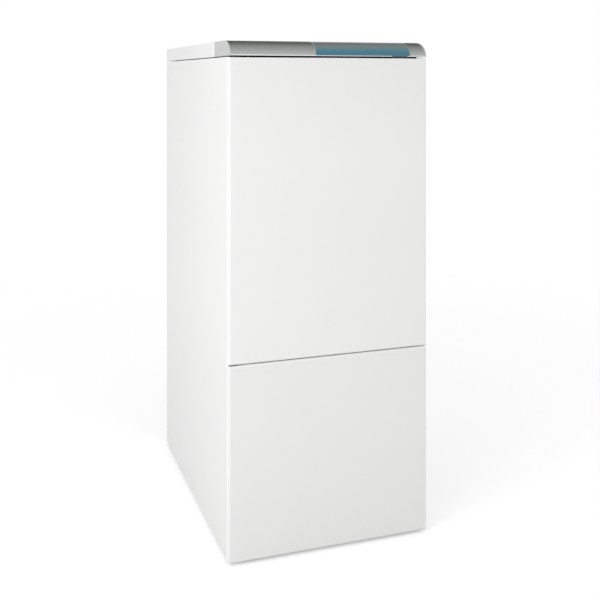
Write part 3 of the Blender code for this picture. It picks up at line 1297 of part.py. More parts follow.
def make_gland(material):
    """The cable gland in the rear panel, shipped with its bore closed."""
    outer = REAR_OUTER + SEAT
    gland = rod("gland", "Y", (GLAND_X, GLAND_Z), REAR_OUTER - SHEET - GLAND_INSIDE, outer + GLAND_OUTSIDE,
                GLAND_R, PIPE_SIDES)
    nut = rod("nut", "Y", (GLAND_X, GLAND_Z), outer, outer + GLAND_OUTSIDE / 2, GLAND_NUT_R, 6)
    finish(join(gland, nut), "cable_gland", material)


def main():
    clear_scene()
    white = make_material("white_coat", (236, 236, 235), 0.38)
    zinc = make_material("zinc_steel", (168, 172, 174), 0.42, 0.85)
    dark_steel = make_material("dark_steel", (58, 60, 62), 0.5, 0.6)
    rubber = make_material("black_rubber", (34, 34, 35), 0.8)
    cheek_grey = make_material("cheek_grey", (203, 203, 203), 0.5)
    silver = make_material("silver_plastic", (158, 163, 159), 0.36, 0.25)
    blue = make_material("blue_flap", (70, 132, 164), 0.12, 0.0, 0.75)
    plate_grey = make_material("plate_grey", (120, 124, 124), 0.5)
    display_black = make_material("display_black", (18, 22, 26), 0.1)
    button_grey = make_material("button_grey", (208, 210, 210), 0.45)
    dial_black = make_material("dial_black", (38, 40, 42), 0.5)
    rocker_green = make_material("rocker_green", (34, 110, 64), 0.35)
    gauge_white = make_material("gauge_white", (236, 238, 236), 0.25)
    enamel = make_material("tank_enamel", (50, 62, 88), 0.4, 0.2)
    foam = make_material("foam", (224, 220, 204), 0.85)
    iron = make_material("cast_iron", (74, 74, 76), 0.7, 0.5)
    wool = make_material("mineral_wool", (186, 186, 178), 0.9)
    galvanised = make_material("galvanised", (178, 182, 184), 0.38, 0.9)
    brass = make_material("brass", (186, 152, 84), 0.35, 1.0)
    valve_grey = make_material("die_cast", (150, 152, 154), 0.45, 0.8)
    yellow = make_material("gas_yellow", (214, 178, 44), 0.45)
    lever_yellow = make_material("lever_yellow", (226, 190, 40), 0.4)
    copper = make_material("copper", (184, 112, 78), 0.3, 1.0)
    pump_red = make_material("vessel_red", (168, 38, 32), 0.4)
    knob_red = make_material("knob_red", (190, 34, 28), 0.4)

    make_rails(dark_steel)
    make_base_cross(dark_steel)
    make_saddles(dark_steel)
    make_posts(zinc)
    make_shelf(zinc)
    make_crossbar(zinc)
    make_feet(rubber)
    make_side_panels(white)
    make_lower_panel(white)
    make_door(white)
    make_hinges(dark_steel)
    make_rear_panel(zinc)
    make_top_cover(white)
    make_cheeks(cheek_grey)
    make_fascia(silver)
    make_flap(blue)
    make_housing(dark_steel)
    make_controls(plate_grey, display_black, button_grey, dial_black, rocker_green, gauge_white)
    drain_front, drain_z = make_tank(enamel, foam, valve_grey)
    make_drain_lever(drain_front, drain_z, knob_red)
    make_coil(copper)
    make_heat_exchanger(iron)
    make_wool(wool)
    make_hood(galvanised)
    make_burner(galvanised)
    make_gas_line(brass, valve_grey, yellow, lever_yellow)
    make_pump(pump_red, dial_black)
    make_pipes(copper, brass, knob_red)
    make_vessel(pump_red)
    make_gland(rubber)
    bpy.context.view_layer.update()


main()
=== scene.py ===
import math

import bmesh
import bpy
from mathutils import Matrix, Vector


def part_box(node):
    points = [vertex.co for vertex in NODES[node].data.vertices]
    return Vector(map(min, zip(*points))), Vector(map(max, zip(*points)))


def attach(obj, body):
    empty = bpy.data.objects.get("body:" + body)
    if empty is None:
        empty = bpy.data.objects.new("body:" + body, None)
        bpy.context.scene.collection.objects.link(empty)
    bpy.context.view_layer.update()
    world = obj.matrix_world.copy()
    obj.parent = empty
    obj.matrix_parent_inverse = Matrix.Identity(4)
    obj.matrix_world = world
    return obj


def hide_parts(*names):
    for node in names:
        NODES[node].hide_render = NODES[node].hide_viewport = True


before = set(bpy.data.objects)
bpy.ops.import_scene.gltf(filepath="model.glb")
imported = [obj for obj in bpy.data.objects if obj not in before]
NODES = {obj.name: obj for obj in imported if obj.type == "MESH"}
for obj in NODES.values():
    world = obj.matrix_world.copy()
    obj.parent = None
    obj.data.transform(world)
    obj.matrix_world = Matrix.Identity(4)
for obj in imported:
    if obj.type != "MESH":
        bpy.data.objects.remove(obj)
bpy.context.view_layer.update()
MM = 0.001


def box(node):
    """The two corners of a CAD node, in millimetres."""
    low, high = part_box(node)
    return low / MM, high / MM


# Shader helpers: these take metres

def linear(channel):
    """One 0-255 display value as the linear value that a shader takes."""
    value = channel / 255
    if value <= 0.04045:
        return value / 12.92
    return ((value + 0.055) / 1.055) ** 2.4


def rgba(colour):
    return (linear(colour[0]), linear(colour[1]), linear(colour[2]), 1.0)


def feed(tree, value, socket):
    """Links a socket to another, or gives it a plain value."""
    if isinstance(value, bpy.types.NodeSocket):
        tree.links.new(value, socket)
    else:
        socket.default_value = value


def add(tree, kind, inputs=None, **props):
    """A new shader node, its inputs given by name or number."""
    made = tree.nodes.new("ShaderNode" + kind)
    for key, value in props.items():
        setattr(made, key, value)
    for key, value in (inputs or {}).items():
        feed(tree, value, made.inputs[key])
    return made


def noise(tree, where, size, detail=2.0):
    """A noise value whose features are about size metres across."""
    return add(tree, "TexNoise", {"Vector": where, "Scale": 1 / size, "Detail": detail,
                                  "Roughness": 0.5}).outputs[0]


def ranged(tree, value, low, high, out_low, out_high):
    """A value moved from one range to another, and held at its ends."""
    return add(tree, "MapRange", {"Value": value, "From Min": low, "From Max": high,
                                  "To Min": out_low, "To Max": out_high}).outputs[0]


def times(tree, colour, factor):
    """A colour multiplied by a value."""
    return add(tree, "Mix", {0: 1.0, 6: colour, 7: factor}, data_type="RGBA",
               blend_type="MULTIPLY").outputs[2]


def varied(tree, colour, value, low, high, part):
    """A colour that gets a part darker or lighter as a value goes from low to high."""
    return times(tree, colour, ranged(tree, value, low, high, 1 - part, 1 + part))


def blended(tree, factor, first, second):
    return add(tree, "Mix", {0: factor, 6: first, 7: second}, data_type="RGBA").outputs[2]


def both(tree, first, second):
    return add(tree, "Math", {0: first, 1: second}, operation="MULTIPLY").outputs[0]


def split(tree, where):
    """The three coordinates of a point."""
    return add(tree, "SeparateXYZ", {0: where}).outputs


def height_ramp(tree, where, stops):
    """A colour by height: each stop is (height in metres, display colour)."""
    low, high = stops[0][0], stops[-1][0]
    ramp = add(tree, "ValToRGB", {0: ranged(tree, split(tree, where)[2], low, high, 0.0, 1.0)})
    elements = ramp.color_ramp.elements
    while len(elements) < len(stops):
        elements.new(0.5)
    for element, (level, colour) in zip(elements, stops):
        element.position = (level - low) / (high - low)
        element.color = rgba(colour)
    return ramp.outputs[0]


def inside(tree, value, low, high, soft):
    """1 where a value lies between two limits, 0 outside them, with soft ends."""
    over = ranged(tree, value, low - soft, low + soft, 0.0, 1.0)
    under = ranged(tree, value, high - soft, high + soft, 1.0, 0.0)
    return both(tree, over, under)


def bumped(tree, normal, height, distance):
    """One more bump on top of a normal."""
    bump = add(tree, "Bump", {"Height": height, "Distance": distance, "Strength": 1.0})
    if normal is not None:
        tree.links.new(normal, bump.inputs["Normal"])
    return bump.outputs[0]


def finish(name, colour, rough, metallic=0.0, mottle=(0.25, 0.015), grain=((0.0012, 0.00001),),
           scuff=(0.03, 0.03), spangle=None, speckle=None, coat=0.0, specular=0.5):
    """A Principled material. Its detail is (size in metres, amount): mottle, spangle and speckle change
    the colour, scuff the roughness, and each grain is a bump of a size and a height."""
    material = bpy.data.materials.new(name)
    material.use_nodes = True
    tree = material.node_tree
    shader = tree.nodes["Principled BSDF"]
    where = add(tree, "TexCoord").outputs["Object"]
    base = colour(tree, where) if callable(colour) else rgba(colour)
    if mottle:
        base = varied(tree, base, noise(tree, where, mottle[0], 3.0), 0.3, 0.7, mottle[1])
    roughness = ranged(tree, noise(tree, where, scuff[0], 4.0), 0.3, 0.7, rough - scuff[1], rough + scuff[1])
    if spangle:
        cells = add(tree, "TexVoronoi", {"Vector": where, "Scale": 1 / spangle[0]}).outputs["Color"]
        value = add(tree, "SeparateColor", {"Color": cells}).outputs[0]
        base = varied(tree, base, value, 0.0, 1.0, spangle[1])
        shine = ranged(tree, value, 0.0, 1.0, -0.08, 0.08)
        roughness = add(tree, "Math", {0: roughness, 1: shine}).outputs[0]
    if speckle:
        base = varied(tree, base, noise(tree, where, speckle[0], 1.0), 0.35, 0.65, speckle[1])
    normal = None
    for size, height in grain:
        normal = bumped(tree, normal, noise(tree, where, size), height)
    feed(tree, base, shader.inputs["Base Color"])
    feed(tree, roughness, shader.inputs["Roughness"])
    feed(tree, normal, shader.inputs["Normal"])
    shader.inputs["Metallic"].default_value = metallic
    shader.inputs["Specular IOR Level"].default_value = specular
    shader.inputs["Coat Weight"].default_value = coat
    return material


def powder_coat(name, colour):
    """The casing's coat, with a faint orange peel."""
    return finish(name, colour, 0.36, grain=((0.0016, 0.000012), (0.006, 0.000010)), mottle=(0.35, 0.006),
                  scuff=(0.05, 0.03))


def wear(node, material):
    """Gives a CAD node a material in all its slots."""
    data = NODES[node].data
    if not data.materials:
        data.materials.append(material)
    for index in range(len(data.materials)):
        data.materials[index] = material


# Colours of the casing and the strip, by place, with their painted light and shade

CASING = (237, 237, 236)
# The door and the cover wear copies of the casing's white: the door's is a painted lighter tone for light,
# the cover's a painted darker tone for shade.
DOOR_LIT_WHITE = (240, 240, 239)
COVER_SHADED_WHITE = (230, 231, 230)
# Painted highlights along the folded edges of the door, the side panels and the cover.
PAINTED_HIGHLIGHT_WHITE = (254, 254, 254)
COVER_PAINTED_HIGHLIGHT = (250, 250, 250)
STRIP_TOP = (150, 153, 151)
FLAP_EDGE = (150, 164, 166)
# Painted shade in the flap's finger recess.
PULL_PAINTED_SHADE = (88, 94, 102)
COVER_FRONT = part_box("top_cover")[0].y
SIDE_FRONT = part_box("side_panel_left")[0].y
DOOR_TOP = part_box("front_door")[1].z
FLAP_X = (-0.045, 0.237)
PULL_X = (0.1825, 0.2275)
PULL_Z = (1.3400, 1.3458)
# The fascia's colour by height: a thin painted shadow at its lower edge, a painted highlight above it, then
# painted shade darkening to near black at the top.
FASCIA_SHADE_STOPS = (
    (1.3432, (52, 54, 54)), (1.3436, (56, 58, 58)), (1.3442, (230, 233, 232)), (1.3461, (224, 227, 226)),
    (1.3474, (174, 176, 175)), (1.3536, (166, 168, 167)), (1.3599, (152, 154, 153)),
    (1.3662, (138, 141, 139)), (1.3725, (118, 122, 117)), (1.3756, (94, 98, 92)), (1.3787, (74, 78, 72)),
    (1.3821, (46, 49, 45)), (1.3850, (26, 28, 26)))
# The flap's blue by height, with a painted shadow and a painted highlight at its lower edge and painted shade
# darkening to the top.
FLAP_SHADE_STOPS = (
    (1.3417, (60, 70, 74)), (1.3424, (90, 110, 118)), (1.3431, (142, 176, 188)), (1.3449, (132, 170, 184)),
    (1.3463, (78, 124, 140)), (1.3530, (71, 119, 137)), (1.3566, (77, 123, 140)), (1.3615, (86, 125, 138)),
    (1.3662, (100, 127, 132)), (1.3725, (110, 122, 118)), (1.3787, (64, 70, 66)), (1.3821, (42, 45, 43)),
    (1.3850, (24, 26, 25)))


def faded(tree, height, colour, start, end, factor):
    """Painted shade: a colour that darkens by a factor between two heights."""
    return times(tree, colour, ranged(tree, height, start, end, 1.0, factor))


def cover_colour(tree, where):
    """White, with a painted highlight along the folded front edge of the cover."""
    highlight_band = inside(tree, split(tree, where)[1], COVER_FRONT, COVER_FRONT + 0.0080, 0.0008)
    return blended(tree, highlight_band, rgba(COVER_SHADED_WHITE), rgba(COVER_PAINTED_HIGHLIGHT))


def door_colour(tree, where):
    """White, with painted shade that darkens it towards its top and a painted highlight along the folded top
    edge of the door.
    """
    height = split(tree, where)[2]
    field = faded(tree, height, rgba(DOOR_LIT_WHITE), DOOR_TOP - 0.28, DOOR_TOP, 0.955)
    highlight_band = inside(tree, height, DOOR_TOP - 0.0022, DOOR_TOP + 0.001, 0.0004)
    return blended(tree, highlight_band, field, rgba(PAINTED_HIGHLIGHT_WHITE))


def side_colour(tree, where):
    """White, with painted shade that darkens it a little towards its top and more towards the floor, and a
    painted highlight along the folded front edge of the side panel.
    """
    parts = split(tree, where)
    field = faded(tree, parts[2], rgba(CASING), DOOR_TOP - 0.28, DOOR_TOP, 0.965)
    field = faded(tree, parts[2], field, 0.60, 0.0, 0.94)
    highlight_band = inside(tree, parts[1], SIDE_FRONT - 0.001, SIDE_FRONT + 0.0085, 0.0010)
    return blended(tree, highlight_band, field, rgba(PAINTED_HIGHLIGHT_WHITE))


def lower_colour(tree, where):
    """White, with painted shade that darkens it a little towards the floor."""
    return faded(tree, split(tree, where)[2], rgba(CASING), 0.35, 0.0, 0.97)


def fascia_colour(tree, where):
    """Silver with painted light and shade: a painted shadow and a painted highlight along its lower edge,
    then painted shade that darkens it to near black where the strip turns over to the top; on top it is plain
    silver again.
    """
    front = height_ramp(tree, where, FASCIA_SHADE_STOPS)
    on_top = ranged(tree, split(tree, where)[1], -0.372, -0.345, 0.0, 1.0)
    return blended(tree, on_top, front, rgba(STRIP_TOP))


def flap_colour(tree, where):
    """Blue with painted light and shade: a painted shadow and a painted highlight along its lower edge and
    painted shade that greys and darkens it to the top; pale side edges, and painted shade in the finger
    recess at the lower edge.
    """
    parts = split(tree, where)
    field = inside(tree, parts[0], FLAP_X[0] + 0.0016, FLAP_X[1] - 0.0016, 0.0003)
    base = blended(tree, field, rgba(FLAP_EDGE), height_ramp(tree, where, FLAP_SHADE_STOPS))
    pull_shade = both(tree, inside(tree, parts[0], *PULL_X, 0.0004),
                inside(tree, parts[2], *PULL_Z, 0.0004))
    return blended(tree, pull_shade, base, rgba(PULL_PAINTED_SHADE))


# Materials

SMOOTH_PRINT = ((0.0003, 0.000003),)
COVER = powder_coat("white_cover_coat", cover_colour)
DOOR = powder_coat("white_door_coat", door_colour)
SIDE = powder_coat("white_side_coat", side_colour)
WHITE = powder_coat("white_powder_coat", lower_colour)
ZINC = finish("zinc_sheet", (172, 176, 178), 0.40, 0.85, spangle=(0.014, 0.10), scuff=(0.02, 0.06))
DARK = finish("dark_painted_steel", (58, 60, 62), 0.48, 0.2, grain=((0.0012, 0.00002),))
RUBBER = finish("black_rubber", (34, 34, 35), 0.75, grain=((0.0006, 0.00003),))
CHEEK = finish("grey_moulded_end", (190, 191, 190), 0.48, grain=((0.0005, 0.000012),))
SILVER = finish("silver_plastic", fascia_colour, 0.48, specular=0.12, grain=((0.0006, 0.000008),),
                speckle=(0.0008, 0.06))
BLUE = finish("blue_flap", flap_colour, 0.24, mottle=None, specular=0.14, grain=((0.004, 0.000004),))
PLATE = finish("plate_grey", (120, 124, 124), 0.5, grain=((0.0005, 0.00002),))
GLASS = finish("display_window", (18, 22, 26), 0.1)
BUTTON = finish("button_grey", (208, 210, 210), 0.45)
DIAL = finish("dial_black", (38, 40, 42), 0.5, grain=((0.0005, 0.00002),))
GREEN = finish("rocker_green", (34, 110, 64), 0.35)
GAUGE = finish("gauge_white", (236, 238, 236), 0.25)
ENAMEL = finish("tank_enamel", (50, 62, 88), 0.38, 0.2, grain=((0.002, 0.00003),))
FOAM = finish("jacket_foam", (224, 220, 204), 0.85, grain=((0.004, 0.0004), (0.001, 0.0001)),
              mottle=(0.05, 0.06))
IRON = finish("cast_iron", (74, 74, 76), 0.68, 0.5, grain=((0.0015, 0.00012), (0.006, 0.0002)),
              mottle=(0.04, 0.12))
WOOL = finish("mineral_wool", (186, 186, 178), 0.9, grain=((0.003, 0.0006), (0.001, 0.0002)),
              mottle=(0.02, 0.10))
GALVANISED = finish("galvanised", (182, 186, 188), 0.36, 0.9, spangle=(0.018, 0.12), scuff=(0.02, 0.05))
BRASS = finish("brass", (190, 156, 88), 0.34, 1.0, mottle=(0.02, 0.08))
CAST_ALLOY = finish("die_cast", (152, 154, 156), 0.46, 0.8, grain=((0.0012, 0.00003),))
YELLOW = finish("gas_yellow", (214, 178, 44), 0.42, grain=((0.002, 0.00002),))
LEVER = finish("lever_yellow", (226, 190, 40), 0.4)
COPPER = finish("copper", (186, 114, 80), 0.30, 1.0, mottle=(0.03, 0.12), scuff=(0.02, 0.08))
RED = finish("vessel_red", (168, 38, 32), 0.36, grain=((0.0015, 0.00002),))
KNOB = finish("knob_red", (190, 34, 28), 0.4)
BRIGHT = finish("zinc_plated_screws", (186, 188, 190), 0.28, 0.95, mottle=(0.01, 0.06), scuff=(0.004, 0.06))
BLACK = finish("black_plastic", (30, 31, 32), 0.42, grain=((0.0005, 0.000015),))
CHROME = finish("chrome_bezel", (214, 216, 218), 0.12, 1.0, mottle=(0.02, 0.03), scuff=(0.01, 0.03))
PRINT_WHITE = finish("white_print", (232, 233, 232), 0.5, grain=SMOOTH_PRINT)
PRINT_BLACK = finish("black_print", (26, 27, 28), 0.5, grain=SMOOTH_PRINT)
PRINT_GREEN = finish("green_print", (58, 146, 82), 0.5, grain=SMOOTH_PRINT)
PRINT_RED = finish("red_print", (196, 44, 36), 0.5, grain=SMOOTH_PRINT)
DIGITS = finish("display_digits", (146, 190, 206), 0.35, mottle=(0.01, 0.04), grain=((0.0003, 0.000002),))
SOLDER = finish("tin_solder", (188, 190, 192), 0.36, 0.9, mottle=(0.004, 0.12), grain=((0.0016, 0.00012),))
FOIL = finish("aluminium_foil", (206, 208, 210), 0.46, 0.85, grain=((0.012, 0.00022), (0.003, 0.00005)),
              mottle=(0.06, 0.03), scuff=(0.02, 0.05))
JACKET = finish("tank_jacket", (222, 222, 218), 0.55, grain=((0.0018, 0.00016), (0.0007, 0.00005)),
                mottle=(0.06, 0.03))
GASKET = finish("seal_rubber", (40, 40, 41), 0.8, grain=((0.0008, 0.00003),))
SIGHT = finish("sight_glass", (60, 40, 26), 0.08, mottle=(0.005, 0.2))
CERAMIC = finish("white_ceramic", (232, 228, 218), 0.22, mottle=(0.008, 0.04), grain=((0.002, 0.00001),))
RED_GLOSS = finish("red_motor_paint", (176, 30, 26), 0.34, mottle=(0.05, 0.03), grain=((0.0015, 0.00003),),
                   coat=0.2)
STRAP = finish("grey_strap", (92, 95, 98), 0.45, 0.4, grain=((0.0012, 0.00005),), mottle=(0.03, 0.05))
GLASS_CLEAR = finish("gauge_glass", (250, 252, 252), 0.04, mottle=None, grain=((0.02, 0.000002),))
GLASS_CLEAR.node_tree.nodes["Principled BSDF"].inputs["Transmission Weight"].default_value = 1.0
GLASS_CLEAR.node_tree.nodes["Principled BSDF"].inputs["IOR"].default_value = 1.12

CAD_MATERIALS = {
    SIDE: "side_panel_left side_panel_right", WHITE: "lower_panel", DOOR: "front_door", COVER: "top_cover",
    ZINC: "post_front_left post_front_right post_rear_left post_rear_right middle_shelf top_crossbar "
          "rear_panel",
    DARK: "base_rail_left base_rail_right base_cross_front tank_saddle_front tank_saddle_rear "
          "door_hinge_upper door_hinge_lower control_housing",
    RUBBER: "foot_front_left foot_front_right foot_rear_left foot_rear_right cable_gland",
    CHEEK: "cheek_left cheek_right",
    SILVER: "control_fascia", BLUE: "control_flap", PLATE: "control_plate", GLASS: "display_window",
    BUTTON: "push_button_1 push_button_2", DIAL: "setting_dial pump_speed_knob", GREEN: "mains_rocker",
    GAUGE: "pressure_gauge", ENAMEL: "storage_tank", FOAM: "tank_insulation", IRON: "heat_exchanger",
    WOOL: "boiler_insulation", GALVANISED: "draught_diverter burner", BRASS: "gas_manifold safety_valve",
    CAST_ALLOY: "gas_valve tank_flange", YELLOW: "gas_pipe", LEVER: "gas_cock_lever",
    COPPER: "tank_coil return_pipe pump_pipe flow_pipe cold_water_pipe hot_water_pipe",
    RED: "heating_pump expansion_vessel", KNOB: "drain_cock_lever safety_valve_knob",
}
for material, names in CAD_MATERIALS.items():
    for node in names.split():
        wear(node, material)


# Mesh helpers: from here to the camera all sizes are millimetres

WELD = 0.001
AXES = {"X": (Vector((0, 1, 0)), Vector((0, 0, 1)), Vector((1, 0, 0))),
        "Y": (Vector((1, 0, 0)), Vector((0, 0, 1)), Vector((0, 1, 0))),
        "Z": (Vector((1, 0, 0)), Vector((0, 1, 0)), Vector((0, 0, 1)))}


class Shape:
    """A piece in the making: each call adds one closed form, in the material number given."""

    def __init__(self, place=None, mesh=None):
        self.bm = bmesh.new() if mesh is None else mesh
        self.place = place or Matrix.Identity(4)

    def at(self, move):
        """The same piece, worked on in a moved plane."""
        return Shape(self.place @ move, self.bm)

    def keep(self, verts, material):
        """Settles new points in the plane and gives their faces a material."""
        for vert in verts:
            vert.co = self.place @ vert.co
        faces = {face for vert in verts for face in vert.link_faces}
        for face in faces:
            face.material_index = material
        bmesh.ops.recalc_face_normals(self.bm, faces=list(faces))
        return self

    def softened(self, verts, bevel, segments):
        """Rounds all edges of a new form and gives its points."""
        edges = list({edge for vert in verts for edge in vert.link_edges})
        made = bmesh.ops.bevel(self.bm, geom=edges, offset=bevel, segments=segments, profile=0.5,
                               affect="EDGES", clamp_overlap=True)
        left = {vert for vert in verts if vert.is_valid}
        return list({vert for face in made["faces"] for vert in face.verts} | left)

    def block(self, low, high, bevel=0.5, material=0, segments=2):
        """A box between two corners."""
        verts = bmesh.ops.create_cube(self.bm, size=1)["verts"]
        low, high = Vector(low), Vector(high)
        for vert in verts:
            vert.co = Vector([(low[i] + high[i]) / 2 + vert.co[i] * (high[i] - low[i]) for i in range(3)])
        if bevel:
            verts = self.softened(verts, bevel, segments)
        return self.keep(verts, material)

    def rim(self, left, right, half, wide, tall, low, high, bevel):
        """Four bars round a rectangle that is centred on y = 0."""
        for start, end in (((left, half - tall), (right, half)), ((left, -half), (right, tall - half)),
                           ((left, -half), (left + wide, half)), ((right - wide, -half), (right, half))):
            self.block((*start, low), (*end, high), bevel)
        return self

    def skin(self, rings, closed=False):
        """Faces between rings of points; a ring of one point is a tip."""
        for first, second in list(zip(rings, rings[1:])) + ([(rings[-1], rings[0])] if closed else []):
            sides = max(len(first), len(second))
            for side in range(sides):
                after = (side + 1) % sides
                corners = [first[side % len(first)], first[after % len(first)],
                           second[after % len(second)], second[side % len(second)]]
                corners = list(dict.fromkeys(corners))
                if len(corners) > 2:
                    self.bm.faces.new(corners)

    def turned(self, profile, axis="Z", centre=(0, 0), sides=32, material=0, flutes=None, flats=None):
        """A profile of (along, radius) turned round an axis; it closes on itself or on the axis.
        Flutes are (count, depth): the rim goes in by the depth between that many ridges.
        Flats are (count, bore): what lies outside the bore gets that many flat faces."""
        u, v, w = AXES[axis]
        origin = u * centre[0] + v * centre[1]
        rings = []
        largest = max(radius for _, radius in profile)
        for along, radius in profile:
            if not radius:
                rings.append([self.bm.verts.new(origin + w * along)])
                continue
            ring = []
            for side in range(sides):
                angle = 2 * math.pi * side / sides
                reach = radius
                if flutes and radius > largest * 0.8:
                    reach -= flutes[1] * (0.5 + 0.5 * math.cos(flutes[0] * angle))
                if flats and radius > flats[1]:
                    half = math.pi / flats[0]
                    reach *= math.cos(half) / math.cos(angle % (2 * half) - half)
                out = u * math.cos(angle) + v * math.sin(angle)
                ring.append(self.bm.verts.new(origin + w * along + out * reach))
            rings.append(ring)
        self.skin(rings, closed=len(rings[0]) > 1)
        return self.keep([vert for ring in rings for vert in ring], material)

    def solid(self, profile, axis, centre, sides=32, material=0, flutes=None):
        """A turned profile that is closed on the axis at both ends."""
        profile = [(profile[0][0], 0)] + list(profile) + [(profile[-1][0], 0)]
        return self.turned(profile, axis, centre, sides, material, flutes)

    def disc(self, axis, centre, low, high, radius, sides=32, material=0):
        return self.solid([(low, radius), (high, radius)], axis, centre, sides, material)

    def washer(self, axis, centre, low, high, inner, outer, sides=32, material=0):
        profile = [(low, inner), (low, outer), (high, outer), (high, inner)]
        return self.turned(profile, axis, centre, sides, material)

    def bead(self, axis, centre, along, radius, thick, sides=48, material=0):
        """A round bead round an axis."""
        turns = [math.pi / 4 * step for step in range(8)]
        profile = [(along + thick * math.cos(turn), radius + thick * math.sin(turn)) for turn in turns]
        return self.turned(profile, axis, centre, sides, material)

    def hexagon(self, axis, centre, low, high, across, material=0, bore=0):
        """A hexagon nut or head with chamfered corners, across its flats."""
        corner = across / math.sqrt(3)
        cut = min(1.2, (high - low) * 0.2)
        profile = [(low, bore), (low, corner * 0.90), (low + cut, corner), (high - cut, corner),
                   (high, corner * 0.90), (high, bore)]
        return self.turned(profile, axis, centre, 36, material, flats=(6, bore))

    def tube(self, points, radius, sides=24, material=0, bore=None):
        """A round bar along points; bore is (radius, depth) of the open end at the last point."""
        points = [Vector(point) for point in points]
        heading = (points[1] - points[0]).normalized()
        across = heading.orthogonal().normalized()
        turns = [2 * math.pi * side / sides for side in range(sides)]
        rings = []

        def add_ring(point, size):
            other = heading.cross(across)
            rings.append([self.bm.verts.new(point + (across * math.cos(turn) + other * math.sin(turn)) * size)
                          for turn in turns])

        for index, point in enumerate(points):
            new = (point - points[index - 1]).normalized() if index else heading
            if 0 < index < len(points) - 1:
                new = ((points[index + 1] - point).normalized() + new).normalized()
            across = heading.rotation_difference(new) @ across
            heading = new
            add_ring(point, radius)
        if bore:
            add_ring(points[-1], bore[0])
            add_ring(points[-1] - heading * bore[1], bore[0])
        self.bm.faces.new(rings[0][::-1])
        self.bm.faces.new(rings[-1])
        self.skin(rings)
        return self.keep([vert for ring in rings for vert in ring], material)

    def prism(self, outline, axis, low, high, material=0, bevel=0):
        """A flat outline given along the two other axes, drawn out along an axis."""
        u, v, w = AXES[axis]
        rings = [[self.bm.verts.new(u * a + v * b + w * along) for a, b in outline] for along in (low, high)]
        self.bm.faces.new(rings[0][::-1])
        self.bm.faces.new(rings[1])
        self.skin(rings)
        verts = rings[0] + rings[1]
        if bevel:
            verts = self.softened(verts, bevel, 2)
        return self.keep(verts, material)

    def glyphs(self, words, size, centre, material=0, height=0, depth=0.12):
        """Plain figures standing on the plane, centred on a point."""
        curve = bpy.data.curves.new("glyphs", "FONT")
        curve.body = words
        curve.size = size
        curve.extrude = depth / 2
        curve.align_x = "CENTER"
        curve.align_y = "CENTER"
        curve.resolution_u = 3
        item = bpy.data.objects.new("glyphs", curve)
        bpy.context.scene.collection.objects.link(item)
        bpy.context.view_layer.update()
        mesh = bpy.data.meshes.new_from_object(item.evaluated_get(bpy.context.evaluated_depsgraph_get()))
        before = set(self.bm.verts)
        self.bm.from_mesh(mesh)
        loose = [vert for vert in self.bm.verts if vert not in before]
        bmesh.ops.remove_doubles(self.bm, verts=loose, dist=WELD)
        joined = [edge for edge in self.bm.edges if edge.verts[0] not in before]
        bmesh.ops.dissolve_degenerate(self.bm, dist=WELD, edges=joined)
        verts = [vert for vert in self.bm.verts if vert not in before]
        for vert in verts:
            vert.co += Vector((centre[0], centre[1], height + depth / 2))
        bpy.data.objects.remove(item)
        bpy.data.curves.remove(curve)
        bpy.data.meshes.remove(mesh)
        return self.keep(verts, material)

    def screw(self, point, normal, radius=3.5, material=0, recess=1):
        """A pan head with a cross recess drawn as a dark block of painted shade, seated at a point."""
        facing = Vector(normal).to_track_quat("Z", "Y").to_matrix().to_4x4()
        head = self.at(Matrix.Translation(point) @ facing)
        high = radius * 0.62
        head.turned([(0, 0), (0, radius), (high * 0.35, radius), (high * 0.8, radius * 0.82),
                     (high, radius * 0.45), (high, 0)], sides=20, material=material)
        slot, reach = radius * 0.11, radius * 0.52
        # The cross recess is a dark block: painted shade in the recess.
        for wide, tall in ((slot, reach), (reach, slot)):
            head.block((-wide, -tall, high * 0.7), (wide, tall, high + 0.06), 0, recess)
        return self

    def pin(self, place, radius=15, sides=32):
        """A flat pin head that holds an insulation mat, in material 1."""
        self.at(place).turned([(0, 0), (0, radius), (0.6, radius - 0.5), (1.2, 4), (1.6, 0)], sides=sides,
                              material=1)

    def done(self, name, materials, body, slot, smooth=38, node=None):
        """Makes the piece in metres: it rides on a body and may take a CAD node's place; its slot is not
        used.
        """
        mesh = bpy.data.meshes.new(name)
        self.bm.to_mesh(mesh)
        self.bm.free()
        mesh.transform(Matrix.Scale(MM, 4))
        for material in materials:
            mesh.materials.append(material)
        for polygon in mesh.polygons:
            polygon.use_smooth = True
        mesh.set_sharp_from_angle(angle=math.radians(smooth))
        item = bpy.data.objects.new(name, mesh)
        bpy.context.scene.collection.objects.link(item)
        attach(item, body)
        if node:
            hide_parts(node)


def bent(corners, bend, steps=10):
    """A route of straight runs with round bends at its corners."""
    points = [Vector(corner) for corner in corners]
    route = [points[0]]
    for before, corner, after in zip(points, points[1:], points[2:]):
        back = (before - corner).normalized()
        on = (after - corner).normalized()
        middle = corner + (back + on) * bend
        for step in range(steps + 1):
            angle = math.pi / 2 * step / steps
            route.append(middle - on * bend * math.cos(angle) - back * bend * math.sin(angle))
    route.append(points[-1])
    return route


def round_point(radius, degrees, centre=(0, 0)):
    angle = math.radians(degrees)
    return (centre[0] + radius * math.cos(angle), centre[1] + radius * math.sin(angle))


def arc(radius, start, end, steps, centre=(0, 0)):
    """Points on part of a circle, in degrees."""
    return [round_point(radius, start + (end - start) * step / steps, centre) for step in range(steps + 1)]


def rotated(degrees, axis, x=0, y=0, z=0):
    """A plane turned round an axis at a point."""
    return Matrix.Translation((x, y, z)) @ Matrix.Rotation(math.radians(degrees), 4, axis)


# The control strip: places on the tilted plate are given along it from its origin

PLANE = Matrix(((1, 0, 0, -45), (0, 0.819523, -0.573046, -409.591),
                (0, 0.573046, 0.819523, 1365.919), (0, 0, 0, 1)))
GAUGE_X = 20
BUTTONS_X = (148.05, 168.05)
DIAL_X = 199.938
ROCKER_X = 244


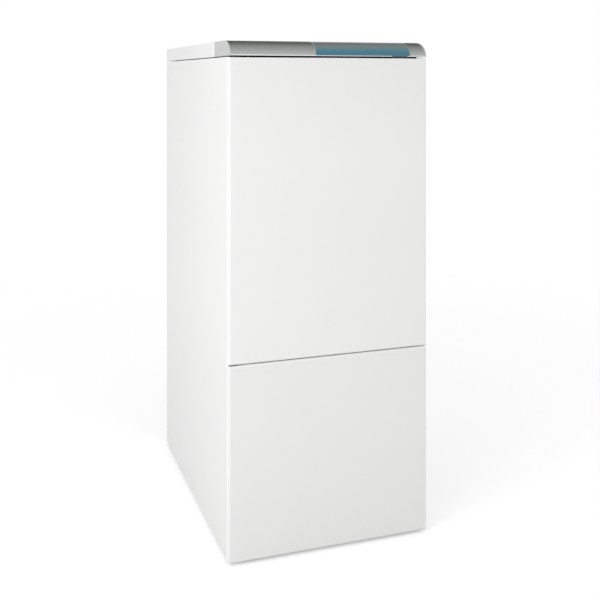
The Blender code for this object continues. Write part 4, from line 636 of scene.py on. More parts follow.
def make_strip_seal():
    back, front = box("control_fascia")[1].y, box("top_cover")[0].y
    Shape().block((-282, back + 0.08, 1352), (282, front - 0.08, 1383.8), 0.2).done(
        "strip_joint_seal", [GASKET], "cabinet", "black_rubber")


def make_plate_screws():
    plate = Shape(PLANE)
    for x in (-3.5, 285.5):
        for y in (20.5, -20.5):
            plate.screw((x, y, 0), (0, 0, 1), 1.6)
    plate.done("control_plate_screws", [BRIGHT, BLACK], "cabinet", "zinc_steel")


def make_plate_print():
    """Lines round the display, gauge and buttons, and the scales of dial and rocker."""
    lines = Shape(PLANE).rim(55.5, 134.5, 14.4, 0.4, 0.4, 0, 0.1, 0)
    lines.washer("Z", (GAUGE_X, 0), 0, 0.1, 17.8, 18.2, 64)
    for index in range(28):
        near, wide = (11.7, 0.16) if index % 3 else (11.3, 0.24)
        lines.at(rotated(90 + 10 * index, "Z", DIAL_X)).block((near, -wide, 0), (13.4, wide, 0.1), 0)
    for index in range(10):
        lines.glyphs(str(index), 3, round_point(15.8, 90 + 30 * index, (DIAL_X, 0)))
    for x in BUTTONS_X:
        lines.washer("Z", (x, 0), 0, 0.1, 5.4, 5.7, 40)
    lines.glyphs("0", 4, (230, 0)).glyphs("I", 4, (258, 0))
    lines.done("control_plate_print", [PRINT_WHITE], "cabinet", "plate_grey")


def make_gauge():
    centre = (GAUGE_X, 0)
    bezel = Shape(PLANE).bead("Z", centre, 1.1, 15.55, 0.9, 64)
    bezel.done("gauge_bezel", [CHROME], "cabinet", "die_cast", 60)
    face = Shape(PLANE).disc("Z", centre, 0.8, 0.9, 13.4, 64)
    face.prism(arc(12, 170, 70, 24, centre) + arc(11.2, 70, 170, 24, centre), "Z", 0.9, 0.97, 2)
    for index in range(21):
        near = 11 if index % 5 else 9.8
        face.at(rotated(225 - 13.5 * index, "Z", GAUGE_X)).block((near, -0.12, 0.9), (12.6, 0.12, 0.99), 0, 1)
    for index in range(5):
        face.glyphs(str(index), 3, round_point(7.8, 225 - 67.5 * index, centre), 1, height=0.9)
    needle = face.at(rotated(135, "Z", GAUGE_X))
    needle.prism([(-2.8, -0.4), (10.8, -0.08), (10.8, 0.08), (-2.8, 0.4)], "Z", 1.15, 1.30, 3)
    needle.disc("Z", (0, 0), 0.9, 1.4, 0.9, 20, 1)
    face.done("gauge_face", [GAUGE, PRINT_BLACK, PRINT_GREEN, PRINT_RED], "cabinet", "gauge_white")
    glass = Shape(PLANE).turned([(1.65, 0), (1.65, 13.8), (1.85, 13.8), (2.3, 8), (2.4, 0)], "Z", centre, 48)
    glass.done("gauge_glass", [GLASS_CLEAR], "cabinet", "gauge_white", 60)


SEGMENTS = {"6": "acdefg", "5": "acdfg"}
FIGURE_LOW, FIGURE_HIGH = 0.5, 0.58


def seven_segments(shape, figure, x, tall):
    """A slanted 5 or 6 of a seven segment display, each segment a six sided bar."""
    wide, half, slant = tall * 0.5, tall * 0.055, 0.12
    bars = {"a": (0, tall / 2, 0), "g": (0, 0, 0), "d": (0, -tall / 2, 0), "f": (-wide / 2, tall / 4, 1),
            "e": (-wide / 2, -tall / 4, 1), "c": (wide / 2, -tall / 4, 1)}
    reach = wide / 2 - half * 0.6
    for name in SEGMENTS[figure]:
        cx, cy, upright = bars[name]
        outline = [(-reach, 0), (-reach + half, half), (reach - half, half), (reach, 0),
                   (reach - half, -half), (-reach + half, -half)]
        if upright:
            outline = [(-b, a) for a, b in outline]
        leaning = [(x + cx + a + slant * (cy + b), cy + b) for a, b in outline]
        shape.prism(leaning, "Z", FIGURE_LOW, FIGURE_HIGH)


def make_display():
    """65 degrees, a row of bars and a drop."""
    digits = Shape(PLANE)
    seven_segments(digits, "6", 88, 13)
    seven_segments(digits, "5", 98, 13)
    digits.washer("Z", (105.5, 6.2), FIGURE_LOW, FIGURE_HIGH, 0.7, 1.1, 24)
    for index in range(6):
        left, top = 64 + index * 1.2, -7.5 + index * 1.2
        digits.block((left, -8.5, FIGURE_LOW), (left + 0.8, top, FIGURE_HIGH), 0)
    digits.prism([(118, -4), (121, -6.5), (124, -4), (123.5, 1), (121, 5.8), (118.5, 1)],
                 "Z", FIGURE_LOW, FIGURE_HIGH)
    digits.done("display_figures", [DIGITS], "cabinet", "display_black")
    Shape(PLANE).rim(59.2, 130.9, 13.2, 0.8, 1.1, 0.05, 1, 0.3).done(
        "display_bezel", [BLACK], "cabinet", "dial_black")


def make_button_signs():
    """Minus on the first button, plus on the second."""
    for index, x in enumerate(BUTTONS_X):
        number = str(index + 1)
        sign = Shape(PLANE).block((x - 1.8, -0.32, 2.5), (x + 1.8, 0.32, 2.62), 0)
        if index:
            sign.block((x - 0.32, -1.8, 2.5), (x + 0.32, 1.8, 2.62), 0)
        sign.done("button_sign_" + number, [PRINT_BLACK], "button_" + number, "button_grey")


def make_dial():
    knob = Shape(PLANE)
    knob.turned([(-6, 0), (-6, 2.8), (0.4, 2.8), (0.4, 9.8), (0.8, 10), (3, 9.7), (4.1, 9), (4.4, 8),
                 (4.2, 7.4), (4, 0)], "Z", (DIAL_X, 0), 144, 0, (36, 0.4))
    knob.block((DIAL_X - 0.4, 2.8, 3.8), (DIAL_X + 0.4, 7.3, 4.25), 0.1, 1)
    knob.done("setting_knob", [DIAL, PRINT_WHITE], "dial", "dial_black", 30, "setting_dial")


def make_rocker():
    """A hollowed cap tilted to its rest side, and the bezel round it."""
    cap = Shape(PLANE @ rotated(-8, "Y", ROCKER_X, 0, -1))
    outline = [(-10, -4), (10, -4), (10, 3.9)]
    outline += [(x, 3.9 - 1.7 * (1 - (x / 10) ** 2)) for x in range(8, -10, -2)] + [(-10, 3.9)]
    cap.prism(outline, "Y", -6, 6)
    cap.block((-6.6, -1.4, 2.9), (-6.2, 1.4, 3.3), 0, 1)
    cap.washer("Z", (6.4, 0), 2.9, 3.3, 1.1, 1.5, 24, 1)
    cap.done("rocker_cap", [GREEN, PRINT_WHITE], "rocker", "rocker_green", 30, "mains_rocker")
    Shape(PLANE).rim(232, 256, 8, 1.2, 1.4, 0.05, 1.2, 0.3).done(
        "rocker_bezel", [BLACK], "cabinet", "dial_black")


make_strip_seal()
make_plate_screws()
make_plate_print()
make_gauge()
make_display()
make_button_signs()
make_dial()
make_rocker()


# Feet

def make_foot(node, body):
    """A ribbed pad, a lock nut and a thread."""
    low, high = box(node)
    centre = ((low.x + high.x) / 2, (low.y + high.y) / 2)
    foot = Shape()
    foot.solid([(0, 16.2), (1, 17.6), (3.6, 18), (5, 17.2), (6, 12)], "Z", centre, 144, 0, (24, 0.7))
    foot.hexagon("Z", centre, 6.1, 9.2, 15.5, 1)
    thread = [(9.2, 0)]
    for turn in range(20):
        thread += [(9.3 + turn * 1.5, 5), (9.9 + turn * 1.5, 4.4)]
    foot.turned(thread + [(40, 4.6), (40, 0)], "Z", centre, 24, 1)
    foot.done("levelling_" + node, [RUBBER, BRIGHT], body, "black_rubber", 32, node)


make_foot("foot_front_left", "foot_fl")
make_foot("foot_front_right", "foot_fr")
make_foot("foot_rear_left", "foot_rl")
make_foot("foot_rear_right", "foot_rr")


# Water pipes

PIPE = 13.5
BACK = box("rear_panel")[1].y
PIPE_END = 434
LEFT_X = -225.5
PUMP_Y = -295
BOSS_X = -150
BOSS_Y = -202.3
FLOW_Z = 980
RETURN_Z = 585
PUMP_PIPE_Z = 830
COLD = (-99.98, 219.96)
HOT = (99.98, 400.05)


def pipe_piece(name, node, corners, fittings=None, open_end=True):
    """A drawn tube in a CAD bar's place: sleeves with a solder line at each bend, a union nut at the back."""
    shape = Shape()
    shape.tube(bent(corners, 30)[::-1], PIPE, 32, 0, (11.8, 30) if open_end else None)
    points = [Vector(corner) for corner in corners]
    for before, corner, after in zip(points, points[1:], points[2:]):
        for other in (before, after):
            away = (other - corner).normalized()
            start = corner + away * 28.5
            shape.tube([start, start + away * 12], PIPE + 1.3, 32, 0)
            shape.tube([start + away * 12, start + away * 13.3], PIPE + 0.8, 32, 1)
    if open_end:
        axis = (corners[0][0], corners[0][2])
        shape.turned([(400, 13.6), (400, 16), (419, 16), (420, 15), (420, 13.6)], "Y", axis, 32, 2)
        shape.hexagon("Y", axis, 420, PIPE_END, 31.8, 2, 13.6)
    if fittings:
        fittings(shape)
    shape.done(name, [COPPER, SOLDER, BRASS, BRIGHT], "cabinet", "copper", 35, node)


def port_nut(shape, low):
    shape.hexagon("Z", (LEFT_X, PUMP_Y), low, low + 14, 38, 2, 13.6)


def boss_nut(shape, z):
    shape.hexagon("Y", (BOSS_X, z), -216.5, -202.8, 36, 2, 13.6)


def return_fittings(shape):
    port_nut(shape, 620.5)


def pump_fittings(shape):
    boss_nut(shape, PUMP_PIPE_Z)
    port_nut(shape, 765.6)


def flow_fittings(shape):
    """A tee with a socket for the safety valve, and the nut on the boss."""
    shape.tube([(LEFT_X, -22, FLOW_Z), (LEFT_X, 22, FLOW_Z)], 15.2, 32, 0)
    shape.disc("Z", (LEFT_X, 0), 985, 997, 11.2)
    shape.hexagon("Z", (LEFT_X, 0), 996.5, 1003, 21.5, 2)
    boss_nut(shape, FLOW_Z)


pipe_piece("return_tube", "return_pipe", [(LEFT_X, PIPE_END, RETURN_Z), (LEFT_X, PUMP_Y, RETURN_Z),
                                          (LEFT_X, PUMP_Y, 634.7)], return_fittings)
pipe_piece("pump_tube", "pump_pipe", [(LEFT_X, PUMP_Y, 765.3), (LEFT_X, PUMP_Y, PUMP_PIPE_Z),
                                      (BOSS_X, PUMP_Y, PUMP_PIPE_Z), (BOSS_X, BOSS_Y, PUMP_PIPE_Z)],
           pump_fittings, open_end=False)
pipe_piece("flow_tube", "flow_pipe", [(LEFT_X, PIPE_END, FLOW_Z), (LEFT_X, -260, FLOW_Z),
                                      (BOSS_X, -260, FLOW_Z), (BOSS_X, BOSS_Y, FLOW_Z)], flow_fittings)
pipe_piece("cold_water_tube", "cold_water_pipe", [(COLD[0], PIPE_END, COLD[1]), (COLD[0], 300, COLD[1])])
pipe_piece("hot_water_tube", "hot_water_pipe", [(HOT[0], PIPE_END, HOT[1]), (HOT[0], 300, HOT[1])])


# Gas pipe and its cock

GAS_X, GAS_Z = 232, 610
GAS = (GAS_X, GAS_Z)
COCK = (GAS_X, -100)


def make_gas_pipe():
    gas = Shape().tube([(GAS_X, -189.7, GAS_Z), (GAS_X, PIPE_END, GAS_Z)], 11, 32, 0, (9.2, 30))
    gas.hexagon("Y", GAS, 420, PIPE_END, 31.8, 1, 11.2)
    gas.hexagon("Y", GAS, -189.5, -178, 27, 1, 11.2)
    gas.turned([(-118.5, 11.2), (-118.5, 15), (-112, 15), (-108, 17.2), (-92, 17.2), (-88, 15),
                (-81.5, 15), (-81.5, 11.2)], "Y", GAS, 32, 1)
    for low in (-118.5, -88):
        gas.hexagon("Y", GAS, low, low + 6.5, 29.5, 1, 11.2)
    gas.solid([(620, 9.5), (629, 8.5), (629, 6), (633.8, 6)], "Z", COCK, 32, 1)
    for y in (50, 250):
        gas.washer("Y", GAS, y, y + 18, 11.1, 13.5, 32, 2)
    gas.done("gas_tube", [YELLOW, BRASS, BRIGHT], "cabinet", "gas_yellow", 35, "gas_pipe")


def make_gas_lever():
    lever = Shape().solid([(634.3, 8), (639.5, 8), (640.3, 7.2)], "Z", COCK, 32)
    lever.hexagon("Z", COCK, 639.8, 643, 8, 1)
    edge = [(5, -104), (5, -118), (6.8, -125), (6.8, -140), (4.5, -145)]
    outline = [(GAS_X - half, y) for half, y in edge] + [(GAS_X + half, y) for half, y in edge[::-1]]
    lever.prism(outline, "Z", 635.2, 639.2, 0, 0.8)
    lever.done("gas_lever_arm", [LEVER, BRIGHT], "gas_lever", "gas_yellow", 35, "gas_cock_lever")


make_gas_pipe()
make_gas_lever()


# Rear of the casing

FLUE = (0, 1130)
GLAND = (100, 1280)
REARWARD = (0, 1, 0)
FORWARD = (0, -1, 0)
UPWARD = (0, 0, 1)


def make_rear_screws():
    rear = Shape()
    for x in (-272, 272):
        for z in (60, 270, 480, 690, 900, 1110, 1300):
            rear.screw((x, BACK, z), REARWARD, 4.2)
    for x in (-180, -60, 60, 180):
        for z in (1355, 30):
            rear.screw((x, BACK, z), REARWARD, 4.2)
    rear.done("rear_panel_screws", [BRIGHT, BLACK], "cabinet", "zinc_steel")


def swage(beads, left, right, low, high):
    """One half round bead round a rectangle with round corners."""
    bend = 30
    section = [(5 * math.cos(math.pi * step / 6), 2.2 * math.sin(math.pi * step / 6)) for step in range(7)]
    section += [(-5, -0.5), (5, -0.5)]
    corners = ((right - bend, high - bend), (left + bend, high - bend), (left + bend, low + bend),
               (right - bend, low + bend))
    path = []
    for quarter, corner in enumerate(corners):
        path += arc(bend, quarter * 90, quarter * 90 + 90, 6, corner)
    rings = []
    for index, (x, z) in enumerate(path):
        along = (Vector(path[(index + 1) % len(path)]) - Vector(path[index - 1])).normalized()
        rings.append([beads.bm.verts.new((x + along.y * out, BACK + rise, z - along.x * out))
                      for out, rise in section])
    beads.skin(rings, closed=True)
    beads.keep([vert for ring in rings for vert in ring], 0)


def make_swages():
    beads = Shape()
    swage(beads, -215, 215, 75, 545)
    swage(beads, -185, 185, 655, 945)
    swage(beads, -235, -100, 1045, 1235)
    swage(beads, 135, 235, 1045, 1235)
    beads.done("rear_panel_swages", [ZINC], "cabinet", "zinc_steel", 50)


def make_grommets():
    grommets = Shape()
    water = PIPE + 0.2
    for centre, hole in ((GAS, 11.2), ((LEFT_X, RETURN_Z), water), ((LEFT_X, FLOW_Z), water), (COLD, water),
                         (HOT, water)):
        grommets.turned([(388.6, hole), (388.6, hole + 8.5), (390, hole + 8.5), (392, hole + 5),
                         (394.5, hole + 1.5), (394.5, hole)], "Y", centre, 40)
    grommets.done("pipe_grommets", [GASKET], "cabinet", "black_rubber", 50)


def make_flue_collar():
    collar = Shape()
    collar.turned([(388.6, 65.5), (388.6, 86), (389.8, 86), (390.2, 70), (396, 67.5), (396, 65.5)],
                  "Y", FLUE, 72)
    collar.bead("Y", FLUE, 420, 65, 1.6, 72)
    for turn in (45, 135, 225, 315):
        x, z = round_point(79, turn, FLUE)
        collar.screw((x, 389.9, z), REARWARD, 3.2, 1, 2)
    collar.done("flue_collar_plate", [GALVANISED, BRIGHT, BLACK], "cabinet", "galvanised", 50)


def make_gland():
    gland = Shape().disc("Y", GLAND, 375.3, 387, 8)
    gland.hexagon("Y", GLAND, 388.9, 395.5, 21.5)
    gland.turned([(395.5, 0), (395.5, 11.2), (405, 10.8), (409, 9), (410.7, 6), (410.7, 4.2), (405, 3.8),
                  (405, 0)], "Y", GLAND, 96, 0, (16, 0.6))
    gland.done("gland_body", [BLACK], "cabinet", "black_rubber", 32, "cable_gland")


make_rear_screws()
make_swages()
make_grommets()
make_flue_collar()
make_gland()


# Pump

def make_pump_body():
    low, high = box("heating_pump")
    x, z = (low.x + high.x) / 2, (low.z + high.z) / 2
    centre = (x, z)
    front, back = low.y, high.y
    joint = back - 40
    port_y = back - 20
    pump = Shape()
    pump.solid([(back, 26), (back - 2, 34), (back - 8, 41.5), (back - 16, 45), (back - 26, 44.5),
                (back - 33, 41), (joint + 3, 38.5), (joint + 3, 44), (joint + 2, 45),
                (joint - 3, 45), (joint - 4, 44)], "Y", centre, 64)
    for step in range(13):
        turn = -30 + step * 20
        near, far = round_point(36, turn, centre), round_point(36, turn + math.degrees(0.40), centre)
        pump.tube([(near[0], port_y, near[1]), (far[0], port_y, far[1])], 12.5 + step * 0.3, 20)
    for side in (-1, 1):
        pump.tube([(x, port_y, z + side * 30), (x, port_y, z + side * 53)], 15.8, 32)
        pump.solid([(z + side * 52, 16), (z + side * 53.5, 18.5), (z + side * 64.2, 18.5),
                    (z + side * 65, 17.5)], "Z", (x, port_y), 32)
    pump.solid([(joint, 38.5), (joint - 6, 38.5), (joint - 8, 39.5), (front + 12, 39.5), (front + 6, 38.5),
                (front + 2, 35), (front, 30)], "Y", centre, 120, 1, (30, 1.6))
    pump.solid([(front + 0.2, 31), (front - 0.8, 30.5)], "Y", centre, 48, 2)
    for turn in (45, 135, 225, 315):
        pump.solid([(joint - 4, 4.2), (joint - 9.5, 4.2), (joint - 10, 3.8), (joint - 10, 2.2),
                    (joint - 7, 2.2)], "Y", round_point(39.5, turn, centre), 20, 3)
    pump.block((x + 34, front + 6, z - 25), (x + 64, joint - 12, z + 25), 3, 2, 3)
    pump.block((x + 33.5, front + 3.5, z - 26), (x + 66, front + 6.5, z + 26), 1, 2)
    for dz in (-21, 21):
        pump.screw((x + 60, front + 3.5, z + dz), FORWARD, 2.6, 3, 2)
    pump.solid([(z - 25, 7), (z - 35, 7), (z - 36.5, 5)], "Z", (x + 48, front + 30), 24, 2)
    pump.done("pump_body", [RED, RED_GLOSS, BLACK, BRIGHT], "cabinet", "vessel_red", 32, "heating_pump")


def make_pump_marks():
    """The figures 1 to 3 round the speed knob, and their ticks."""
    low, high = box("heating_pump")
    marks = Shape(rotated(90, "X", (low.x + high.x) / 2, low.y - 0.8, (low.z + high.z) / 2))
    for index, figure in enumerate("123"):
        marks.glyphs(figure, 5.8, round_point(24.8, 130 + 40 * index))
    for index in range(3):
        marks.at(rotated(130 + 40 * index, "Z")).prism([(17.8, 0.5), (17.8, -0.5), (20.8, -0.5), (20.8, 0.5)],
                                                       "Z", 0, 0.1)
    marks.done("pump_speed_marks", [PRINT_WHITE], "cabinet", "dial_black")


def make_pump_knob():
    pump_low, pump_high = box("heating_pump")
    low, high = box("pump_speed_knob")
    deep = high.y - low.y
    knob = Shape(rotated(90, "X", (pump_low.x + pump_high.x) / 2, high.y, (pump_low.z + pump_high.z) / 2))
    knob.turned([(0, 0), (0, 15.8), (3, 16), (3.8, 15), (4.2, 0)], "Z", (0, 0), 96, 0, (24, 0.6))
    grip = knob.at(rotated(130, "Z"))
    grip.prism([(-13.5, -3), (10.5, -2.6), (14.8, 0), (10.5, 2.6), (-13.5, 3)], "Z", 3.6, deep, 0, 0.8)
    grip.block((5, -0.5, deep - 0.6), (12.8, 0.5, deep + 0.1), 0, 1)
    knob.done("pump_knob_cap", [DIAL, PRINT_WHITE], "pump_knob", "dial_black", 32, "pump_speed_knob")


make_pump_body()
make_pump_marks()
make_pump_knob()


# Expansion vessel

SEAM_DEPTH = 45


def make_vessel():
    low, high = box("expansion_vessel")
    radius = (high.x - low.x) / 2
    x, z = (low.x + high.x) / 2, low.z + radius
    centre = (x, z)
    front, back = low.y, high.y
    seam = front + SEAM_DEPTH
    dome = 39
    curve = [(dome * math.cos(math.pi * step / 28), radius * math.sin(math.pi * step / 28) - 1)
             for step in range(1, 14)]
    back_half = [(seam + 6 + depth, reach) for depth, reach in curve]
    rim = [(seam + 6, radius - 1), (seam + 4.5, radius + 1), (seam - 4.5, radius + 1),
           (seam - 6, radius - 1)]
    front_half = [(seam - 6 - depth, reach) for depth, reach in curve[::-1]]
    vessel = Shape()
    vessel.turned([(seam + 6 + dome, 0)] + back_half + rim + front_half + [(seam - 6 - dome, 0)],
                  "Y", centre, 128)
    for along in (seam + 4.8, seam - 4.8):
        vessel.bead("Y", centre, along, radius + 0.4, 1.6, 128)
    vessel.solid([(front + 1, 13), (front - 0.5, 12)], "Y", centre, 40)
    vessel.solid([(front, 7), (front - 11, 7), (front - 12.5, 5.5)], "Y", centre, 60, 1, (15, 0.5))
    vessel.disc("Y", centre, seam + 30, back - 3, 20, 32, 2)
    vessel.block((x - 30, back - 3, z - 40), (x + 30, back, high.z), 0.6, 2)
    for edge in (x - 30, x + 30):
        vessel.block((edge - 1.5, back - 10, z - 30), (edge + 1.5, back - 2, high.z - 50), 0.5, 2)
    for bolt in ((x - 18, high.z - 15), (x + 18, high.z - 15)):
        vessel.hexagon("Y", bolt, back - 8.5, back - 3, 13, 3)
        vessel.disc("Y", bolt, back - 3, back - 4.2, 10.5, 28, 3)
    vessel.hexagon("Y", centre, back - 10, back - 3, 30, 3)
    vessel.done("vessel_shell", [RED, BLACK, GALVANISED, BRIGHT], "cabinet", "vessel_red", 40,
                "expansion_vessel")


def make_vessel_tube():
    """A short rigid tube from the vessel to the flow pipe, with a nut at each end."""
    low, high = box("expansion_vessel")
    radius = (high.x - low.x) / 2
    x, z = (low.x + high.x) / 2 - 90, low.z + radius - 50
    seam = low.y + SEAM_DEPTH
    end_x, y, top = -188, -258, FLOW_Z + 11.5
    tube = Shape().tube(bent([(x, seam + 30, z), (x, y, z), (end_x, y, z), (end_x, y, top)], 16), 5, 20)
    tube.hexagon("Y", (x, z), seam + 20, seam + 32, 17, 1, 4.8)
    tube.hexagon("Z", (end_x, y), top + 4, top + 15, 15, 1, 4.8)
    tube.disc("Z", (end_x, y), top - 6, top + 4.5, 7.5, 24, 1)
    tube.done("vessel_tube", [COPPER, BRASS], "cabinet", "copper", 35)


make_vessel()
make_vessel_tube()


# Tank

TANK_Z = (box("tank_insulation")[0].z + box("tank_insulation")[1].z) / 2
DRAIN = (0, TANK_Z - 45)


def rounded(along, radius, deep, tall, angles):
    """Profile points of a round edge that is deep along the axis and tall across it."""
    return [(along + deep * (1 - math.cos(math.radians(a))), radius + tall * (1 - math.sin(math.radians(a))))
            for a in angles]


def make_tank_jacket():
    """The jacket with its front hole, a piping bead, three straps with clasps and a lap seam."""
    low, high = box("tank_insulation")
    radius = (high.x - low.x) / 2
    centre = (0, TANK_Z)
    front, back, hole = low.y, high.y, 80
    jacket = Shape()
    jacket.solid(rounded(back, radius, -12, -12, range(0, 91, 15))
                 + rounded(front, radius, 12, -12, range(90, -1, -15))
                 + rounded(front, hole, 5, 5, range(0, 91, 30)) + [(front + 60, hole)], "Y", centre, 128)
    jacket.bead("Y", centre, front + 3.5, radius - 3.5, 1.8, 128, 1)
    clasp = 152
    for y in (-150, 50, 300):
        jacket.turned([(y, radius - 1), (y, radius + 0.8), (y + 16, radius + 0.8), (y + 16, radius - 1)],
                      "Y", centre, 128, 1)
        cx, cz = round_point(radius, clasp, centre)
        jacket.at(rotated(90 - clasp, "Y", cx, y + 8, cz)).block((-16, -9.5, 0.2), (16, 9.5, 3), 0.8, 1)
    outline = arc(radius - 1, 118, 121.5, 3, centre) + arc(radius + 1.2, 121.5, 118, 3, centre)
    jacket.prism(outline, "Y", front + 14, back - 14)
    jacket.done("tank_jacket_cover", [JACKET, STRAP], "cabinet", "foam", 50, "tank_insulation")


def make_tank_flange():
    """The bolted flange with gasket, plug and sensor pocket, and the drain cock with its hose tail."""
    low, high = box("tank_flange")
    disc = 74
    face = high.y - 8
    centre = (0, TANK_Z)
    pocket = (26, TANK_Z + 30)
    flange = Shape().solid([(high.y, disc), (face + 1.2, disc), (face, disc - 1.2)], "Y", centre, 96)
    flange.washer("Y", centre, high.y - 0.2, high.y + 2.8, 50, disc - 3, 96, 1)
    for index in range(8):
        spot = round_point(61, 22.5 + 45 * index, centre)
        flange.disc("Y", spot, face + 0.2, face - 1.2, 8.5, 28, 2)
        flange.hexagon("Y", spot, face - 6.5, face - 1.2, 12.5, 2)
    flange.solid([(face, 26), (face - 1.5, 25.5)], "Y", centre, 48)
    flange.hexagon("Y", (0, TANK_Z + 4), face - 11, face - 1.5, 26, 3)
    flange.hexagon("Y", pocket, face - 10, face, 16, 3)
    flange.disc("Y", pocket, face - 10, face - 18, 4.5, 20, 4)
    flange.hexagon("Y", DRAIN, face - 8, face, 23.5, 3)
    flange.solid([(face - 7.5, 8.5), (face - 12, 8.5), (face - 13.5, 10), (low.y + 1, 10), (low.y, 9)],
                 "Y", DRAIN, 32, 3)
    tail = DRAIN[1] - 8
    flange.solid([(tail, 5.2), (tail - 8, 5.2), (tail - 8, 6.6), (tail - 11, 5.2), (tail - 11, 6.6),
                  (tail - 14, 5.2), (tail - 14, 6.6), (tail - 17, 5), (tail - 17, 3.4), (tail - 12, 3.4)],
                 "Z", (0, low.y + 9), 28, 3)
    flange.done("tank_flange_plate", [CAST_ALLOY, GASKET, BRIGHT, BRASS, BLACK], "cabinet", "die_cast",
                32, "tank_flange")


def make_drain_lever():
    low, high = box("drain_cock_lever")
    z = DRAIN[1]
    lever = Shape().solid([(high.y, 9.8), (low.y + 1, 9.8), (low.y, 8.8)], "Y", DRAIN, 40)
    lever.prism([(6, z - 4), (22, z - 4.4), (25.5, z - 2.5), (26, z), (25.5, z + 2.5), (22, z + 4.4),
                 (6, z + 4)], "Y", low.y + 0.6, high.y - 1.2, 0, 1)
    lever.screw((0, low.y, z), FORWARD, 4.2, 1, 2)
    lever.done("drain_lever_arm", [KNOB, BRIGHT, BLACK], "drain_lever", "red_plastic", 35, "drain_cock_lever")


make_tank_jacket()
make_tank_flange()
make_drain_lever()


# Safety valve

def safety_valve_axis():
    """The valve's round part fills the front of its box."""
    low, high = box("safety_valve")
    return ((low.x + high.x) / 2, low.y + (high.x - low.x) / 2)


def make_safety_valve():
    low, high = box("safety_valve")
    axis, base, top = safety_valve_axis(), low.z, high.z
    spout = (axis[0], (base + top) / 2)
    valve = Shape().hexagon("Z", axis, base, base + 11, 25)
    valve.solid([(base + 10, 11.5), (base + 13, 13.8), (base + 26, 13.8), (base + 29, 12)], "Z", axis, 40)
    valve.hexagon("Z", axis, base + 28.5, top - 2, 22.5)
    valve.solid([(top - 2.5, 9.5), (top, 9)], "Z", axis)
    valve.disc("Y", spout, axis[1], high.y - 10, 7.6, 28)
    valve.hexagon("Y", spout, high.y - 11, high.y, 16.5, 0, 5)
    valve.done("safety_valve_body", [BRASS], "cabinet", "brass", 32, "safety_valve")


def make_safety_knob():
    """A knob with an arrow for its turn."""
    axis = safety_valve_axis()
    low, high = box("safety_valve_knob")
    base, top = low.z, high.z
    knob = Shape().solid([(base, 15.5), (base + 2, 16.8), (top - 4, 16.8), (top - 1.2, 15), (top, 12.5)],
                         "Z", axis, 96, 0, (12, 1.4))
    knob.at(Matrix.Translation((*axis, top))).prism(
        [(-8, -0.8), (2, -0.8), (2, -2.8), (7.5, 0), (2, 2.8), (2, 0.8), (-8, 0.8)], "Z", -0.1, 0.3, 1)
    knob.done("safety_knob_cap", [KNOB, PRINT_WHITE], "safety_knob", "red_plastic", 35, "safety_valve_knob")


make_safety_valve()
make_safety_knob()


# Gas valve, manifold and burner plate

NOZZLES_X = (-99, -33, 33, 99)


def make_gas_valve():
    low, high = box("gas_valve")
    x, y = (low.x + high.x) / 2, (low.y + high.y) / 2
    axis, front, top = (x, y), low.y, high.z
    body_top = top - 45
    valve = Shape().block((low.x, front, low.z), (high.x, high.y, body_top), 4, 0, 3)
    valve.block((low.x + 8, front - 2.5, low.z + 14), (high.x - 8, front + 1, body_top - 14), 1.4)
    for dx in (-21, 21):
        for dz in (-24, 24):
            valve.screw((x + dx, front - 2.5, GAS_Z + dz), FORWARD, 3.4, 1, 2)
    for dx, dz in ((-12, 10), (12, -10)):
        valve.hexagon("Y", (x + dx, GAS_Z + dz), front - 10, front - 2.5, 10, 3)
        valve.screw((x + dx, front - 10, GAS_Z + dz), FORWARD, 2.4, 1, 2)
    valve.hexagon("Y", (x, GAS_Z), high.y - 1, high.y, 30)
    valve.hexagon("X", (y, GAS_Z), low.x - 0.2, low.x + 6, 26)
    valve.disc("Z", axis, body_top - 1, body_top + 1.5, 23.5, 40, 1)
    valve.solid([(body_top + 1, 19), (body_top + 3, 20), (top - 4, 20), (top - 1, 18.5)], "Z", axis, 48, 2)
    valve.hexagon("Z", axis, top - 1.5, top + 4.5, 14, 1)
    valve.solid([(top + 4.5, 3.6), (top + 7.5, 3)], "Z", axis, 20, 1)
    valve.block((x - 12, front + 1.5, body_top + 10), (x + 12, y - 10, body_top + 32), 1.5, 2)
    valve.screw((x, front + 1.5, body_top + 21), FORWARD, 2.6, 1, 2)
    valve.done("gas_valve_body", [CAST_ALLOY, BRIGHT, BLACK, BRASS], "cabinet", "die_cast", 35, "gas_valve")


def make_manifold():
    """The manifold with end caps, four nozzles, a test nipple and two stays."""
    low, high = box("gas_manifold")
    y = low.y + 10
    bar = (y, GAS_Z)
    pipe = Shape().tube([(high.x, y, GAS_Z), (low.x + 6, y, GAS_Z)], 9.8, 32)
    pipe.hexagon("X", bar, low.x, low.x + 14, 24.5)
    pipe.hexagon("X", bar, high.x - 13, high.x, 24.5)
    for x in NOZZLES_X:
        nozzle = (x, GAS_Z)
        pipe.solid([(y + 6, 8.5), (y + 12.5, 7.5)], "Y", nozzle, 28)
        pipe.hexagon("Y", nozzle, y + 12, y + 20, 12)
        pipe.solid([(y + 20, 4.8), (high.y - 3.5, 4.8), (high.y, 3)], "Y", nozzle, 24)
    pipe.hexagon("Z", (150, y), 618.5, 626.5, 11)
    pipe.solid([(626.5, 3), (633, 2.6)], "Z", (150, y), 20)
    for x in (-66, 66):
        pipe.block((x - 7, y - 11.2, 598.5), (x + 7, y - 10, 621.5), 0.4, 1)
        pipe.block((x - 7, y - 11.2, 620.5), (x + 7, -192.6, 621.7), 0.4, 1)
        pipe.block((x - 7, -194, 620.5), (x + 7, -192.6, 642), 0.4, 1)
        pipe.screw((x, -194, 634), FORWARD, 3.4, 1, 2)
    pipe.done("manifold_tube", [BRASS, BRIGHT, BLACK], "cabinet", "brass", 32, "gas_manifold")


